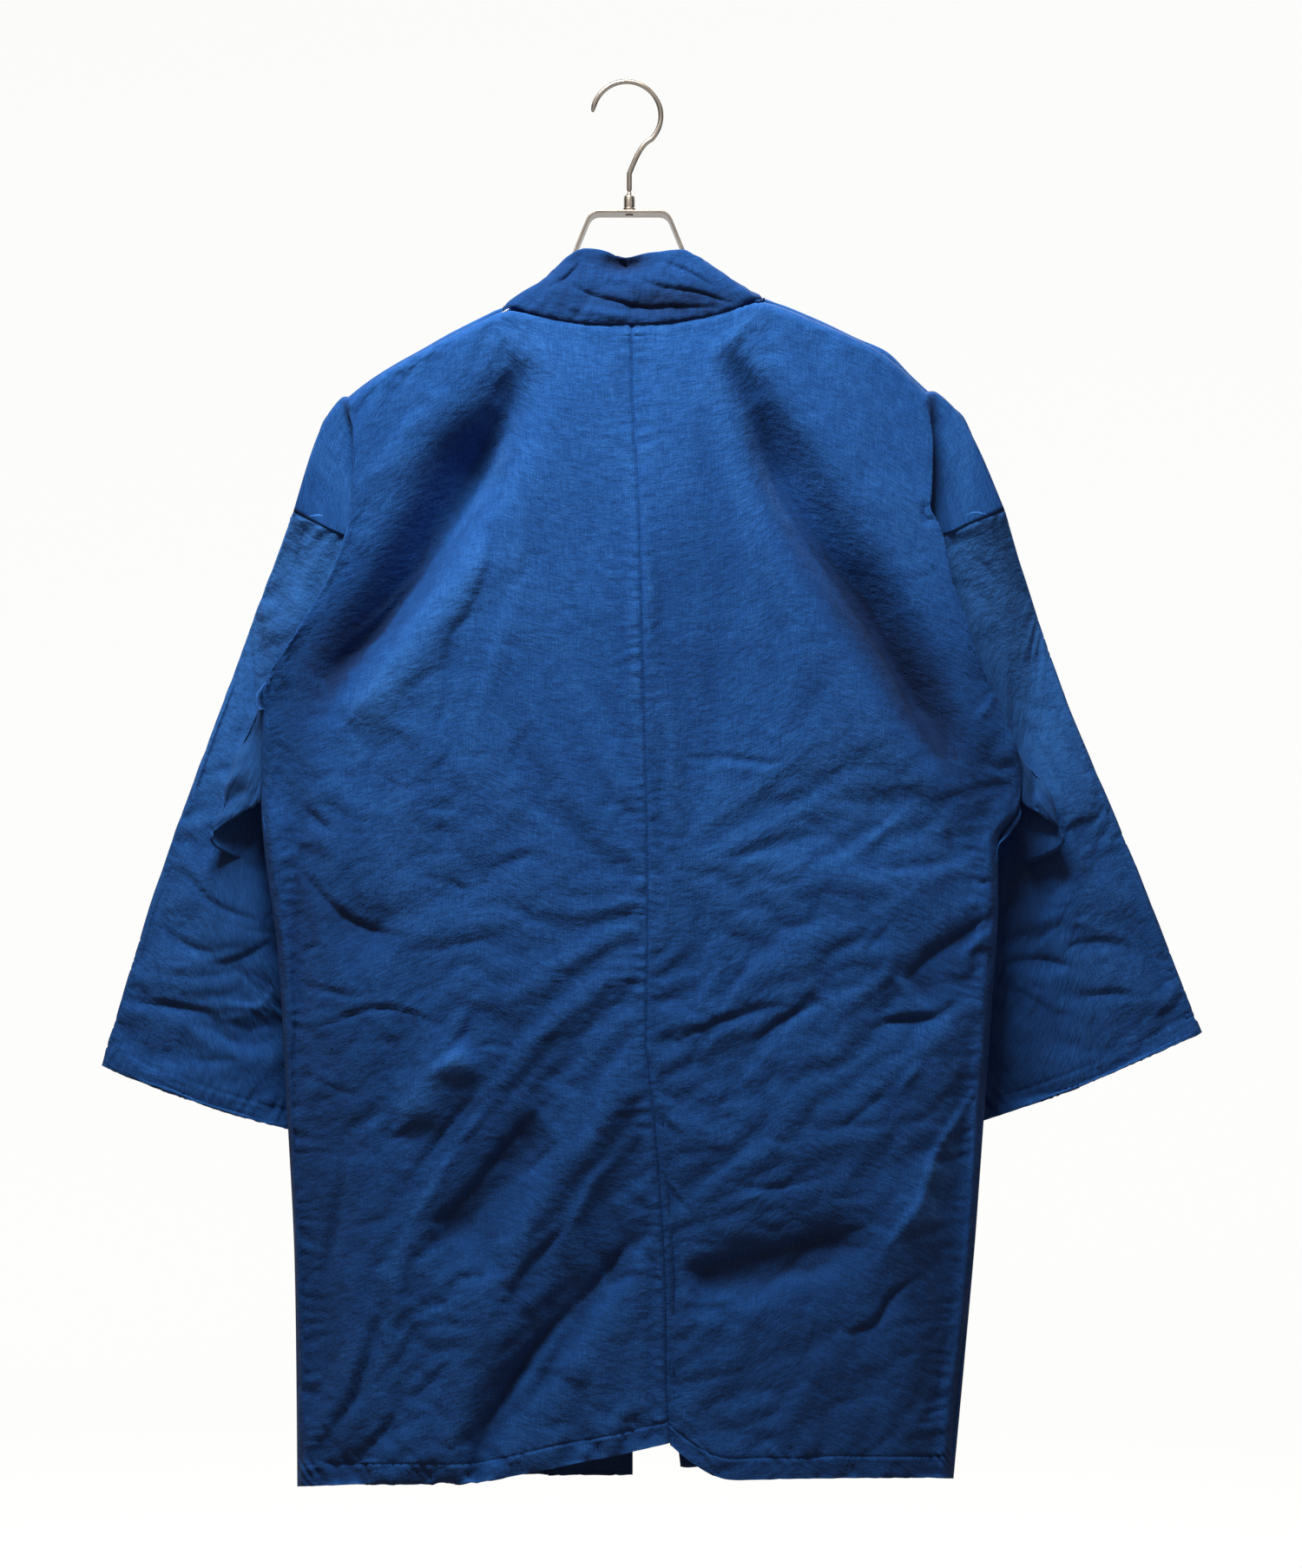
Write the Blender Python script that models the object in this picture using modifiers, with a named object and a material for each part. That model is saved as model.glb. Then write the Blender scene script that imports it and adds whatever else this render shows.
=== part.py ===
"""Happi coat on a flat-steel hanger: cotton panels as thin walls, seamed 0.3 mm apart.

Frame: +Z up, +X to the wearer's right, +Y towards the front of the coat.
The origin is the inner top of the hook, where a rail carries it.
Tables and named sizes are in millimetres.
"""
import math

import bmesh
import bpy
from mathutils import Vector

MM = 0.001

# cloth
WALL = 1.2
CENTRE_GAP = 0.5
RIDGE_GAP = 0.5
ARMHOLE_GAP = 0.95
ARMHOLE_FOLD_GAP = 1.5
BAND_GAP = 1.45

# grid density: columns across a piece, rows down it
NECK_COLUMNS = (0.0, 0.25, 0.5, 0.75, 0.92)
NECK_CORNER = (0.0, 3.0, 7.0)
RIDGE_COLUMNS = 6
FLAP_COLUMNS = 3
ARMHOLE_ROWS = 8
BODY_ROWS = 14
FRONT_COLUMNS = 9
SLEEVE_ROWS = 12
BAND_STATIONS = 44
BAND_COLUMNS = 3

# depths, front to back
SHOULDER_HALF_WIDTH = 16.0
SHOULDER_DROP = 9.0
BACK_DEPTH = 42.0
FRONT_DEPTH = 38.0
SIDE_TURN = 6.0
SIDE_DEPTH = 13.0
SIDE_TURN_START = {"left": -525.0, "right": -565.0}

# height of the underarm point, and drops below the ridge of the first rows of each panel
UNDERARM_Z = -545.0
FIRST_DROPS = (0.0, 1.2, 4.5, 9.0)
PANEL_LENGTH = 850.0

# hanger
HOOK_RADIUS = 26.0
HOOK_WIRE = 4.0
HOOK_STEM_X = 2.0
HOOK_STEM_END = -84.0
FERRULE_TOP = -84.3
FERRULE_FOOT = -97.1
BAR_Z = -98.5
STRIP_WIDTH = 22.0
STRIP_THICKNESS = 2.0
STRIP_BEND = 7.0
STRIP_DROP = 4.0

# centre back line: height, x
CENTRE_BACK = (
    (-183, 4), (-312, 9), (-387, 11), (-629, 16), (-734, 15),
    (-783, 20), (-898, 28), (-1003, 30), (-1066, 35),
)

# neck seam and shoulder ridge of each side, from the centre back out: x, z
LEFT_TOP = (
    (4, -183), (-15, -183), (-42, -181), (-65, -177), (-81, -172), (-88, -169),
    (-125, -187), (-156, -203), (-187, -220), (-210, -238),
)
RIGHT_TOP = (
    (4, -183), (25, -182), (50, -179), (72, -175), (87, -169), (98, -163),
    (119, -170), (159, -187), (195, -203), (227, -234),
)

# outline of the dropped shoulder, from the end of the ridge to the sleeve seam: x, z
LEFT_DROP = ((-210, -238), (-228, -253), (-240, -286), (-253, -325))
RIGHT_DROP = ((227, -234), (255, -253), (271, -286), (287, -324))
DROP_BULGE = {"left": 7.0, "right": 9.0}

# depth of the neck seam: share of the way from the centre back to the neck side, y
NECK_DEPTH = ((0, -20), (0.5, -18), (0.76, -16), (0.9, -14.5), (1.0, -12.5), (1.03, -5), (1.07, -0.25))

# hem of each back panel, from the centre back out: x, z
LEFT_HEM = ((34, -1033), (9, -1040), (-78, -1057), (-111, -1065), (-250, -1066))
RIGHT_HEM = ((36, -1034), (42, -1050), (63, -1062), (101, -1061), (248, -1060))

# fold of each back panel over its sleeve, and the seam behind it
# height at the fold, x of the fold, x of its root, x of the seam, height of the seam
LEFT_FOLD = (
    (-238, -210, -214, -253, -325),
    (-271, -209, -194, -244, -330),
    (-296, -209, -190, -234, -335),
    (-321, -210, -191, -223, -340),
    (-341, -214, -197, -211, -346),
    (-379, -229, -209, -203, -381),
    (-404, -245, -222, -214, -405),
    (-433, -264, -248, -241, -434),
    (-457, -276, -275, -274, -458),
    (-478, -272, -276, -277.5, -478),
    (-545, -272, -276.5, -277.5, -545),
    (-594, -269, -272.9, -273.5, -594),
    (-659, -260.5, -264.4, -265, -659),
    (-794, -252.5, -256.4, -257, -794),
    (-896, -247.5, -251.4, -252, -896),
    (-1066, -245.5, -249.4, -250, -1066),
)
RIGHT_FOLD = (
    (-234, 227, 232, 287, -324),
    (-271, 234, 219, 275, -329),
    (-296, 234, 215, 262, -334),
    (-321, 232, 214, 248, -340),
    (-341, 241, 222, 234, -346),
    (-379, 249, 230, 224, -381),
    (-405, 259, 238, 231, -406),
    (-436, 269, 250, 243, -437),
    (-484, 290, 279, 276, -484),
    (-507, 298, 297, 298, -508),
    (-545, 294, 298.7, 299.5, -545),
    (-575, 277.5, 281.4, 282, -575),
    (-621, 277.5, 281.4, 282, -621),
    (-713, 271.5, 275.4, 276, -713),
    (-830, 263.5, 267.4, 268, -830),
    (-896, 258.5, 262.4, 263, -896),
    (-1060, 243.5, 247.4, 248, -1060),
)

# depth of those three lines: height at the fold, y of the fold, of its root, of the seam
FOLD_DEPTH = (
    (-234, -16, -7, -6),
    (-260, -18, -8, -7),
    (-330, -21, -11, -9),
    (-379, -23, -15, -8),
    (-436, -23, -16, -9),
    (-484, -22, -17, -11),
    (-545, -18, -8, -0.5),
    (-570, -15, -6, -0.25),
    (-700, -15, -6, -0.25),
    (-1066, -15, -6, -0.25),
)

# armhole edge of each front panel: height on the fold line of the back, x, z, y
LEFT_FRONT_EDGE = (
    (-238, -253, -325, 5),
    (-300, -233, -337, 9),
    (-341, -214, -352, 15),
    (-400, -212, -400, 20),
    (-457, -240, -458, 18),
    (-510, -268, -511, 9),
    (-545, -277.5, -545, 0.4),
    (-600, -273, -600, 0.25),
)
RIGHT_FRONT_EDGE = (
    (-234, 287, -324, 5),
    (-300, 258, -337, 9),
    (-341, 236, -352, 15),
    (-400, 228, -400, 20),
    (-457, 256, -458, 18),
    (-510, 288, -511, 9),
    (-545, 299.5, -545, 0.4),
    (-575, 282, -575, 0.25),
)

# hanging part of each sleeve: share of its length, x and z of the outer edge,
# x and z of the inner edge, y of its middle, half its depth
LEFT_SLEEVE = (
    (0.00, -253, -325, -279, -548, 3, 6),
    (0.20, -284, -409, -271, -594, 25, 10),
    (0.40, -315, -493, -261, -655, 28, 12),
    (0.70, -361, -620, -248, -735, 32, 12),
    (1.00, -399, -746, -236, -800, 34, 13),
)
RIGHT_SLEEVE = (
    (0.00, 287, -324, 300, -548, 3, 6),
    (0.20, 312, -404, 283, -596, 26, 9),
    (0.40, 341, -485, 270, -650, 29, 12),
    (0.70, 390, -601, 266, -728, 32, 12),
    (1.00, 437, -721, 250, -795, 34, 13),
)

# fold of each sleeve at the underarm: place round the half ring, how far it reaches out, how
# far it rises, how far it stands towards the back
UNDERARM_FOLD = ((0.0, 0, 0, 0), (0.5, 0, 0, 0), (0.7, 14, 9, 6), (0.8, 26, 12, 8), (0.93, 36, 14, 12), (1.0, 42, 16, 14))
CUFF_DIP = 4.0

# collar band of each side, from the centre back to the front hem
# x, y and z of the sewn edge, then of the free edge
LEFT_BAND = (
    (4, -20, -182.1, 4, -15.5, -129),
    (-15, -20, -182.1, -10, -15.5, -127),
    (-42, -18, -180.0, -31, -15, -125),
    (-65, -16, -175.7, -42, -14.5, -129),
    (-80, -14.5, -171, -49, -9, -135),
    (-88, -12.5, -168, -54, -3, -140),
    (-92.5, -2, -169, -57, 6, -143.5),
    (-91, 14.5, -174, -54, 17, -152),
    (-84, 22, -215, -42, 28, -205),
    (-76, 28, -270, -27, 34, -262),
    (-66, 33, -350, -12, 38, -345),
    (-56, 37, -450, 1, 40, -450),
    (-52, 39, -600, 3.8, 41, -600),
    (-52, 38, -850, 4.2, 40, -850),
    (-53, 37, -1057, 4.5, 39, -1057),
)
RIGHT_BAND = (
    (4, -20, -182.1, 4, -15.5, -129),
    (25, -20, -181.1, 20, -15.5, -128),
    (50, -18, -178.0, 42, -15, -126),
    (72, -16, -173.6, 52, -14.5, -131),
    (87, -14.5, -167.5, 61, -9, -137),
    (97.5, -12.5, -162, 68, -3, -142),
    (102.5, -2, -162.6, 72, 6, -145.5),
    (101, 14.5, -168, 68, 17, -153),
    (92, 22, -212, 53, 28, -205),
    (84, 28, -270, 38, 34, -262),
    (75, 33, -350, 23, 38, -345),
    (66, 37, -450, 9, 40, -450),
    (64, 39, -600, 7.5, 41, -600),
    (75, 38, -850, 19, 40, -850),
    (97, 37, -1051, 41, 39, -1051),
)

# largest folds of the back: depth (hollows positive), width, then the x and z it runs through
BACK_FOLDS = (
    (13, 24, ((-80, -197), (-117, -279), (-164, -352), (-222, -436), (-270, -520))),
    (-7, 16, ((-114, -333), (-141, -379), (-178, -429), (-222, -497))),
    (12, 22, ((81, -190), (121, -266), (160, -337), (212, -411), (255, -495), (272, -570))),
    (7, 18, ((-255, -590), (-234, -611), (-163, -649))),
    (-7, 16, ((-115, -726), (-155, -754), (-170, -800))),
    (9, 20, ((-70, -782), (-118, -838), (-160, -880))),
    (8, 18, ((2, -870), (-60, -930), (-110, -1000), (-130, -1050))),
    (10, 16, ((40, -901), (100, -891), (190, -865))),
    (-8, 18, ((266, -760), (222, -840), (190, -900))),
    (9, 20, ((212, -688), (244, -659), (275, -632))),
)

COLOURS = {
    "back": (0.022, 0.096, 0.26, 1.0),
    "front": (0.020, 0.086, 0.24, 1.0),
    "sleeve": (0.016, 0.070, 0.20, 1.0),
    "band": (0.018, 0.078, 0.22, 1.0),
    "metal": (0.62, 0.60, 0.58, 1.0),
}


def clear_scene():
    for thing in list(bpy.data.objects):
        bpy.data.objects.remove(thing, do_unlink=True)


def trace(rows, at):
    """Smooth curve through a table: the first column is the place, the rest are read there."""
    places = [row[0] for row in rows]
    if places[0] > places[-1]:
        return trace(rows[::-1], at)
    at = min(max(at, places[0]), places[-1])
    last = max(i for i in range(len(rows) - 1) if places[i] <= at)
    low, high = rows[last], rows[last + 1]
    before = rows[max(last - 1, 0)]
    after = rows[min(last + 2, len(rows) - 1)]
    span = high[0] - low[0]
    t = (at - low[0]) / span
    values = []
    for column in range(1, len(low)):
        start_slope = (high[column] - before[column]) / (high[0] - before[0]) * span
        end_slope = (after[column] - low[column]) / (after[0] - low[0]) * span
        if (high[column] - low[column]) * (low[column] - before[column]) <= 0:
            start_slope = 0.0
        if (high[column] - low[column]) * (after[column] - high[column]) <= 0:
            end_slope = 0.0
        bend = (2 * t ** 3 - 3 * t ** 2 + 1) * low[column] + (t ** 3 - 2 * t ** 2 + t) * start_slope
        values.append(bend + (3 * t ** 2 - 2 * t ** 3) * high[column] + (t ** 3 - t ** 2) * end_slope)
    return values


def along(points, share):
    """Point at a share of a polyline's length, corners left as they are."""
    lengths = [math.dist(a, b) for a, b in zip(points, points[1:])]
    left = share * sum(lengths)
    for start, end, length in zip(points, points[1:], lengths):
        if left <= length or end is points[-1]:
            part = min(left / length, 1.0)
            return [a + (b - a) * part for a, b in zip(start, end)]
        left -= length
    return list(points[-1])


def mix(a, b, share):
    return [p + (q - p) * share for p, q in zip(a, b)]


def ease(share):
    share = min(max(share, 0.0), 1.0)
    return share * share * (3 - 2 * share)


def fold_depth(x, z):
    """How far the largest folds press the back in at a point."""
    total = 0.0
    for depth, width, path in BACK_FOLDS:
        best = None
        run = sum(math.dist(a, b) for a, b in zip(path, path[1:]))
        done = 0.0
        for a, b in zip(path, path[1:]):
            length = math.dist(a, b)
            part = ((x - a[0]) * (b[0] - a[0]) + (z - a[1]) * (b[1] - a[1])) / length ** 2
            part = min(max(part, 0.0), 1.0)
            near = math.dist((x, z), mix(a, b, part))
            if best is None or near < best[0]:
                best = (near, (done + part * length) / run)
            done += length
        taper = math.sin(math.pi * min(max(best[1], 0.08), 0.92))
        total += depth * taper * math.exp(-(best[0] / width) ** 2)
    return total


class Side:
    """The tables of one side of the coat."""

    def __init__(self, name, sign, top, drop, hem, fold, front_edge, sleeve, band):
        self.name = name
        self.sign = sign
        self.top = top
        self.drop = drop
        self.hem = hem
        self.fold = fold
        self.front_edge = front_edge
        self.sleeve = sleeve
        self.band = band
        self.tip_z = fold[0][0]
        self.hem_z = fold[-1][0]

    def fold_z(self, share):
        return self.tip_z + (self.hem_z - self.tip_z) * share

    def back_lines(self, share):
        """Fold, root and seam points of the back panel at a share of its length."""
        z = self.fold_z(share)
        fold_x, root_x, seam_x, seam_z = trace(self.fold, z)
        fold_y, root_y, seam_y = [turned_depth(y, share) for y in trace(FOLD_DEPTH, z)]
        return (fold_x, fold_y, z), (root_x, root_y, z), (seam_x, seam_y, seam_z)


LEFT = Side("left", -1, LEFT_TOP, LEFT_DROP, LEFT_HEM, LEFT_FOLD, LEFT_FRONT_EDGE, LEFT_SLEEVE, LEFT_BAND)
RIGHT = Side("right", 1, RIGHT_TOP, RIGHT_DROP, RIGHT_HEM, RIGHT_FOLD, RIGHT_FRONT_EDGE, RIGHT_SLEEVE, RIGHT_BAND)


def row_shares(side):
    """Shares of a panel's length: the turn over the shoulder, the armhole, then the body."""
    shares = [drop / PANEL_LENGTH for drop in FIRST_DROPS]
    underarm = (UNDERARM_Z - side.tip_z) / (side.hem_z - side.tip_z)
    first = shares[-1]
    shares += [first + (underarm - first) * (i + 1) / ARMHOLE_ROWS for i in range(ARMHOLE_ROWS)]
    shares += [underarm + (1 - underarm) * (i + 1) / BODY_ROWS for i in range(BODY_ROWS)]
    return shares


def shoulder_turn(drop, start=RIDGE_GAP / 2):
    """Half depth of the cloth a given drop below the ridge, from its half depth there."""
    if drop >= SHOULDER_DROP:
        return max(SHOULDER_HALF_WIDTH, start)
    turned = (1 - (1 - drop / SHOULDER_DROP) ** 3) ** (1 / 3)
    return start + max(SHOULDER_HALF_WIDTH - start, 0.0) * turned


def turned_depth(y, share):
    """A depth as it grows from the ridge: nothing at the ridge, all of it below the turn."""
    turned = shoulder_turn(share * PANEL_LENGTH, 0.0) / SHOULDER_HALF_WIDTH
    start = math.copysign(RIDGE_GAP / 2, y)
    return start + (y - start) * turned


def back_columns(side):
    """Places across the top of a back panel, as shares of its length: neck, corner, ridge."""
    lengths = [math.dist(a, b) for a, b in zip(side.top, side.top[1:])]
    neck = sum(lengths[:5])
    whole = sum(lengths)
    places = [neck * part / whole for part in NECK_COLUMNS]
    places += [(neck + step) / whole for step in NECK_CORNER]
    last = places[-1]
    return places + [last + (1 - last) * (i + 1) / RIDGE_COLUMNS for i in range(RIDGE_COLUMNS)]


def neck_depth(side, x):
    neck_x = side.top[5][0]
    share = (x - side.top[0][0]) / (neck_x - side.top[0][0])
    return trace(NECK_DEPTH, share)[0] if share < NECK_DEPTH[-1][0] else -RIDGE_GAP / 2


def back_point(side, across, share):
    """Point of a back panel: across from the centre back to the fold, share of the length."""
    top_x, top_z = along(side.top, across)
    start = -neck_depth(side, top_x)
    top_x += side.sign * CENTRE_GAP / 2 * (1 - across)
    hem_z = along(side.hem, across)[1]
    z = top_z + (hem_z - top_z) * share
    fold, _, _ = side.back_lines(share)
    centre_x = trace(CENTRE_BACK, z)[0] + side.sign * CENTRE_GAP / 2
    straight_x = centre_x + (fold[0] - centre_x) * across
    x = top_x + (straight_x - top_x) * ease(share / 0.16)
    drop = top_z - z
    body = (BACK_DEPTH - SHOULDER_HALF_WIDTH) * ease(drop / 260.0) * (1 - 0.3 * ease((drop - 500) / 400))
    y = -shoulder_turn(drop, start) - body * (1 - across ** 4)
    y += fold_depth(x, z) * ease(drop / 60.0) * ease((1 - across) / 0.12) * ease(across / 0.12)
    near_fold = ease((across - 0.86) / 0.14) * ease(share / 0.03)
    return [x, y + (fold[1] - y) * near_fold, z]


def back_panel(side):
    """Centre back to fold, then round the fold to the seam behind it."""
    places = back_columns(side)
    shares = row_shares(side)
    fold_column = len(places) - 1

    def place(column, row):
        share = shares[row]
        if column < fold_column:
            return back_point(side, places[column], share)
        fold, root, seam = side.back_lines(share)
        if column == fold_column:
            return fold
        part = (column - fold_column - 1) / FLAP_COLUMNS
        point = mix(root, seam, part)
        bulge = DROP_BULGE[side.name] * math.sin(math.pi * part ** 0.6) * ease(1 - share / 0.11)
        return [point[0] + side.sign * 0.9 * bulge, point[1], point[2] + 0.4 * bulge]

    return cloth("back_" + side.name, place, fold_column + 1 + FLAP_COLUMNS, len(shares) - 1, "back")


def back_seam(side, share):
    return side.back_lines(share)[2]


def front_seam(side, share):
    """Armhole, then side seam, of the front panel."""
    z = side.fold_z(share)
    if z > side.front_edge[-1][0]:
        x, seam_z, y = trace(side.front_edge, z)
        return [x, turned_depth(y, share), seam_z]
    _, _, seam = side.back_lines(share)
    return [seam[0], RIDGE_GAP / 2, seam[2]]


def band_edge(side, share):
    """Sewn edge of the collar band, down from the neck side."""
    rows = [(z, x, y, z) for x, y, z, _, _, _ in side.band[6:]]
    top, foot = rows[0][0], rows[-1][0]
    return trace(rows, top + (foot - top) * share)


def front_point(side, across, share):
    """Point of a front panel: across from the band to the seam, share of the length."""
    inner = band_edge(side, share)
    inner[0] += side.sign * BAND_GAP
    seam = front_seam(side, share)
    ridge = side.top[5:] + side.drop[1:]
    top_x, top_z = along(ridge, across)
    if across == 0:
        return [inner[0], inner[1] if share else RIDGE_GAP / 2, inner[2]]
    if share == 0:
        return [top_x, RIDGE_GAP / 2, top_z]
    hem_z = inner[2] + (side.hem_z - inner[2]) * across if share == 1 else side.hem_z
    z = top_z + (hem_z - top_z) * share
    z += (seam[2] - z) * ease((across - 0.7) / 0.3)
    z += (inner[2] - z) * ease(1 - across / 0.25)
    if across < 0.5:
        z = min(z, top_z - min(0.3 * share * PANEL_LENGTH, 5.0))
    x = inner[0] + (seam[0] - inner[0]) * across
    corner_x = side.drop[-1][0]
    neck_x = side.top[5][0]
    x += (top_x - neck_x - (corner_x - neck_x) * across) * (1 - ease(share / 0.14))
    drop = max(top_z - z, share * PANEL_LENGTH if across < 0.95 else 0.0)
    body = (FRONT_DEPTH - SHOULDER_HALF_WIDTH) * ease(drop / 240.0) * (1 - across ** 3)
    y = shoulder_turn(drop) + body
    y += (inner[1] - y) * ease(1 - across / 0.3)
    edge_y = seam[1] + (SIDE_DEPTH - seam[1]) * side_turn(side, share) if across < 1 else seam[1]
    return [x, y + (edge_y - y) * ease((across - 0.8) / 0.2), z]


def side_turn(side, share):
    """0 along the armhole, 1 where the front turns round the side to its seam."""
    return ease((SIDE_TURN_START[side.name] - side.fold_z(share)) / 40)


def front_side_point(side, column, share):
    """The last columns turn round the side of the body, or run straight to the armhole."""
    columns = FRONT_COLUMNS - 2
    if column <= columns:
        return front_point(side, column / columns * 0.985 if column else 0.0, share)
    seam = front_point(side, 1.0, share)
    if column == FRONT_COLUMNS:
        return seam
    before = front_point(side, 0.985, share)
    turned = [seam[0] - side.sign * 0.6, SIDE_TURN, seam[2]]
    return mix(mix(before, seam, 0.5), turned, side_turn(side, share))


def front_panel(side):
    shares = row_shares(side)

    def place(column, row):
        return front_side_point(side, column, shares[row])

    return cloth("front_" + side.name, place, FRONT_COLUMNS, len(shares) - 1, "front")


def sleeve_point(side, seam_share, across, back, length_share):
    """Point of a sleeve: across from its outer edge to its inner one, on the back or the front."""
    seam = back_seam if back else front_seam
    root = seam(side, seam_share)
    face = -1 if back else 1
    out_x, out_z, in_x, in_z, middle, half = trace(side.sleeve, max(length_share, 0.2))
    hang = [out_x + (in_x - out_x) * across, 0, out_z + (in_z - out_z) * across]
    hang[1] = middle + face * half * math.sin(math.pi * across) ** 0.7
    hang[2] -= CUFF_DIP * math.sin(math.pi * across) * length_share
    if length_share >= 0.2:
        return hang
    near = length_share / 0.2
    hidden = ease((across - 0.2) / 0.15) * ease((1 - across) / 0.12) if back else 0.0
    run = Vector(seam(side, seam_share + 0.01)) - Vector(seam(side, max(seam_share - 0.01, 0.0)))
    gap = ARMHOLE_GAP + (ARMHOLE_FOLD_GAP - ARMHOLE_GAP) * ease((across - 0.88) / 0.12)
    away = Vector((-side.sign * run.z, 0, side.sign * run.x)).normalized() * gap
    away = mix(away, (0, ARMHOLE_FOLD_GAP, 0), hidden)
    start = [a + b for a, b in zip(root, away)]
    point = mix(start, hang, ease(near) * 0.4 + near * 0.6)
    reach, rise, stand = trace(UNDERARM_FOLD, across)
    wave = math.sin(math.pi * near ** 1.5) * (1.0 if back else 0.8)
    return [point[0] + side.sign * reach * wave, point[1] + face * stand * wave, point[2] + rise * wave]


def sleeve(side):
    shares = row_shares(side)[:len(FIRST_DROPS) + ARMHOLE_ROWS]
    half = len(shares) - 1

    def place(column, row):
        back = column <= half
        seam_share = shares[column if back else 2 * half - column]
        length = (row / SLEEVE_ROWS) ** 1.25
        return sleeve_point(side, seam_share, seam_share / shares[-1], back, length)

    return cloth("sleeve_" + side.name, place, 2 * half, SLEEVE_ROWS, "sleeve", ring=True)


def collar_band():
    """From the left front hem, round the back of the neck, to the right front hem."""
    half = BAND_STATIONS // 2

    def station(index):
        side = LEFT if index < half else RIGHT
        share = abs(index - half) / half
        rows = [(i, *row) for i, row in enumerate(side.band)]
        return trace(rows, share * (len(rows) - 1))

    def place(column, row):
        values = station(row)
        part = column / BAND_COLUMNS
        point = mix(values[:3], values[3:], part)
        swell = 2.0 * math.sin(math.pi * part)
        return [point[0], point[1] - swell if abs(row - half) < 5 else point[1] + swell, point[2]]

    return cloth("collar_band", place, BAND_COLUMNS, BAND_STATIONS, "band")


def cloth(name, place, columns, rows, finish, ring=False):
    """A grid laid through the piece's sections, given the wall's thickness."""
    mesh = bpy.data.meshes.new(name)
    bm = bmesh.new()
    bmesh.ops.create_grid(bm, x_segments=columns, y_segments=rows, size=1.0)
    for vert in bm.verts:
        column = round((vert.co.x + 1) / 2 * columns)
        row = round((1 - vert.co.y) / 2 * rows)
        vert.co = Vector(place(column, row)) * MM
    if ring:
        bmesh.ops.remove_doubles(bm, verts=bm.verts, dist=0.00001)
    bmesh.ops.recalc_face_normals(bm, faces=bm.faces)
    bm.to_mesh(mesh)
    bm.free()
    mesh.shade_smooth()
    piece = add_object(name, mesh, finish, roughness=0.85, metallic=0.0)
    wall = piece.modifiers.new("wall", "SOLIDIFY")
    wall.thickness = WALL * MM
    wall.offset = 0.0
    return piece


def add_object(name, data, finish, roughness, metallic):
    piece = bpy.data.objects.new(name, data)
    collection.objects.link(piece)
    material = bpy.data.materials.new(name + "_finish")
    material.use_nodes = True
    shader = material.node_tree.nodes["Principled BSDF"]
    shader.inputs["Base Color"].default_value = COLOURS[finish]
    shader.inputs["Roughness"].default_value = roughness
    shader.inputs["Metallic"].default_value = metallic
    data.materials.append(material)
    return piece


def hook_route():
    """Tip, round the bow, back under it and down the stem."""
    centre_z = HOOK_WIRE / 2 - HOOK_RADIUS
    points = []
    for step in range(23):
        angle = math.radians(174 - step * (174 + 44) / 22)
        points.append((HOOK_RADIUS * math.cos(angle), centre_z + HOOK_RADIUS * math.sin(angle)))
    start = points[-1]
    for step in range(1, 9):
        t = step / 8
        bend = ease(t)
        x = start[0] + (HOOK_STEM_X - start[0]) * (1.65 * t - 0.65 * t * t if t < 1 else 1.0)
        z = start[1] + (-68 - start[1]) * (0.45 * t + 0.55 * bend)
        points.append((x, z))
    points.append((HOOK_STEM_X, HOOK_STEM_END + 6))
    points.append((HOOK_STEM_X, HOOK_STEM_END))
    return points


def hanger_hook():
    curve = bpy.data.curves.new("hanger_hook", "CURVE")
    curve.dimensions = "3D"
    curve.bevel_depth = HOOK_WIRE / 2 * MM
    curve.bevel_resolution = 2
    curve.use_fill_caps = True
    route = hook_route()
    spline = curve.splines.new("POLY")
    spline.points.add(len(route) - 1)
    for point, (x, z) in zip(spline.points, route):
        point.co = (x * MM, 0, z * MM, 1)
    return add_object("hanger_hook", curve, "metal", roughness=0.32, metallic=1.0)


def hanger_ferrule():
    """Turned sleeve that carries the hook's stem, with a flange where it meets the bar."""
    profile = (
        (0.0, FERRULE_TOP), (2.4, FERRULE_TOP), (4.2, FERRULE_TOP - 1.8), (4.2, FERRULE_FOOT + 3.0),
        (4.9, FERRULE_FOOT + 2.4), (4.9, FERRULE_FOOT + 0.6), (4.3, FERRULE_FOOT), (0.0, FERRULE_FOOT),
    )
    mesh = bpy.data.meshes.new("hanger_ferrule")
    bm = bmesh.new()
    verts = [bm.verts.new((radius * MM, 0, z * MM)) for radius, z in profile]
    for low, high in zip(verts, verts[1:]):
        bm.edges.new((low, high))
    bmesh.ops.spin(bm, geom=bm.verts[:] + bm.edges[:], cent=(0, 0, 0), axis=(0, 0, 1),
                   angle=2 * math.pi, steps=20, use_merge=True)
    bmesh.ops.remove_doubles(bm, verts=bm.verts, dist=0.00001)
    bmesh.ops.recalc_face_normals(bm, faces=bm.faces)
    bmesh.ops.translate(bm, verts=bm.verts, vec=(HOOK_STEM_X * MM, 0, 0))
    bm.to_mesh(mesh)
    bm.free()
    return add_object("hanger_ferrule", mesh, "metal", roughness=0.3, metallic=1.0)


def strip_route():
    """Middle line of the bent strip: left arm, neck, right arm."""
    corners = (
        (-203, -233.5 - STRIP_DROP), (-90, -169.6 - STRIP_DROP), (-49, -152),
        (-27, BAR_Z), (31, BAR_Z), (53, -152), (99, -164 - STRIP_DROP), (206, -214 - STRIP_DROP),
    )
    route = [corners[0]]
    for before, corner, after in zip(corners, corners[1:], corners[2:]):
        corner = Vector(corner)
        to_before = (Vector(before) - corner).normalized() * STRIP_BEND
        to_after = (Vector(after) - corner).normalized() * STRIP_BEND
        for step in range(5):
            t = step / 4
            route.append(tuple(corner + to_before * (1 - t) ** 2 + to_after * t ** 2))
    route.append(corners[-1])
    return route


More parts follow.
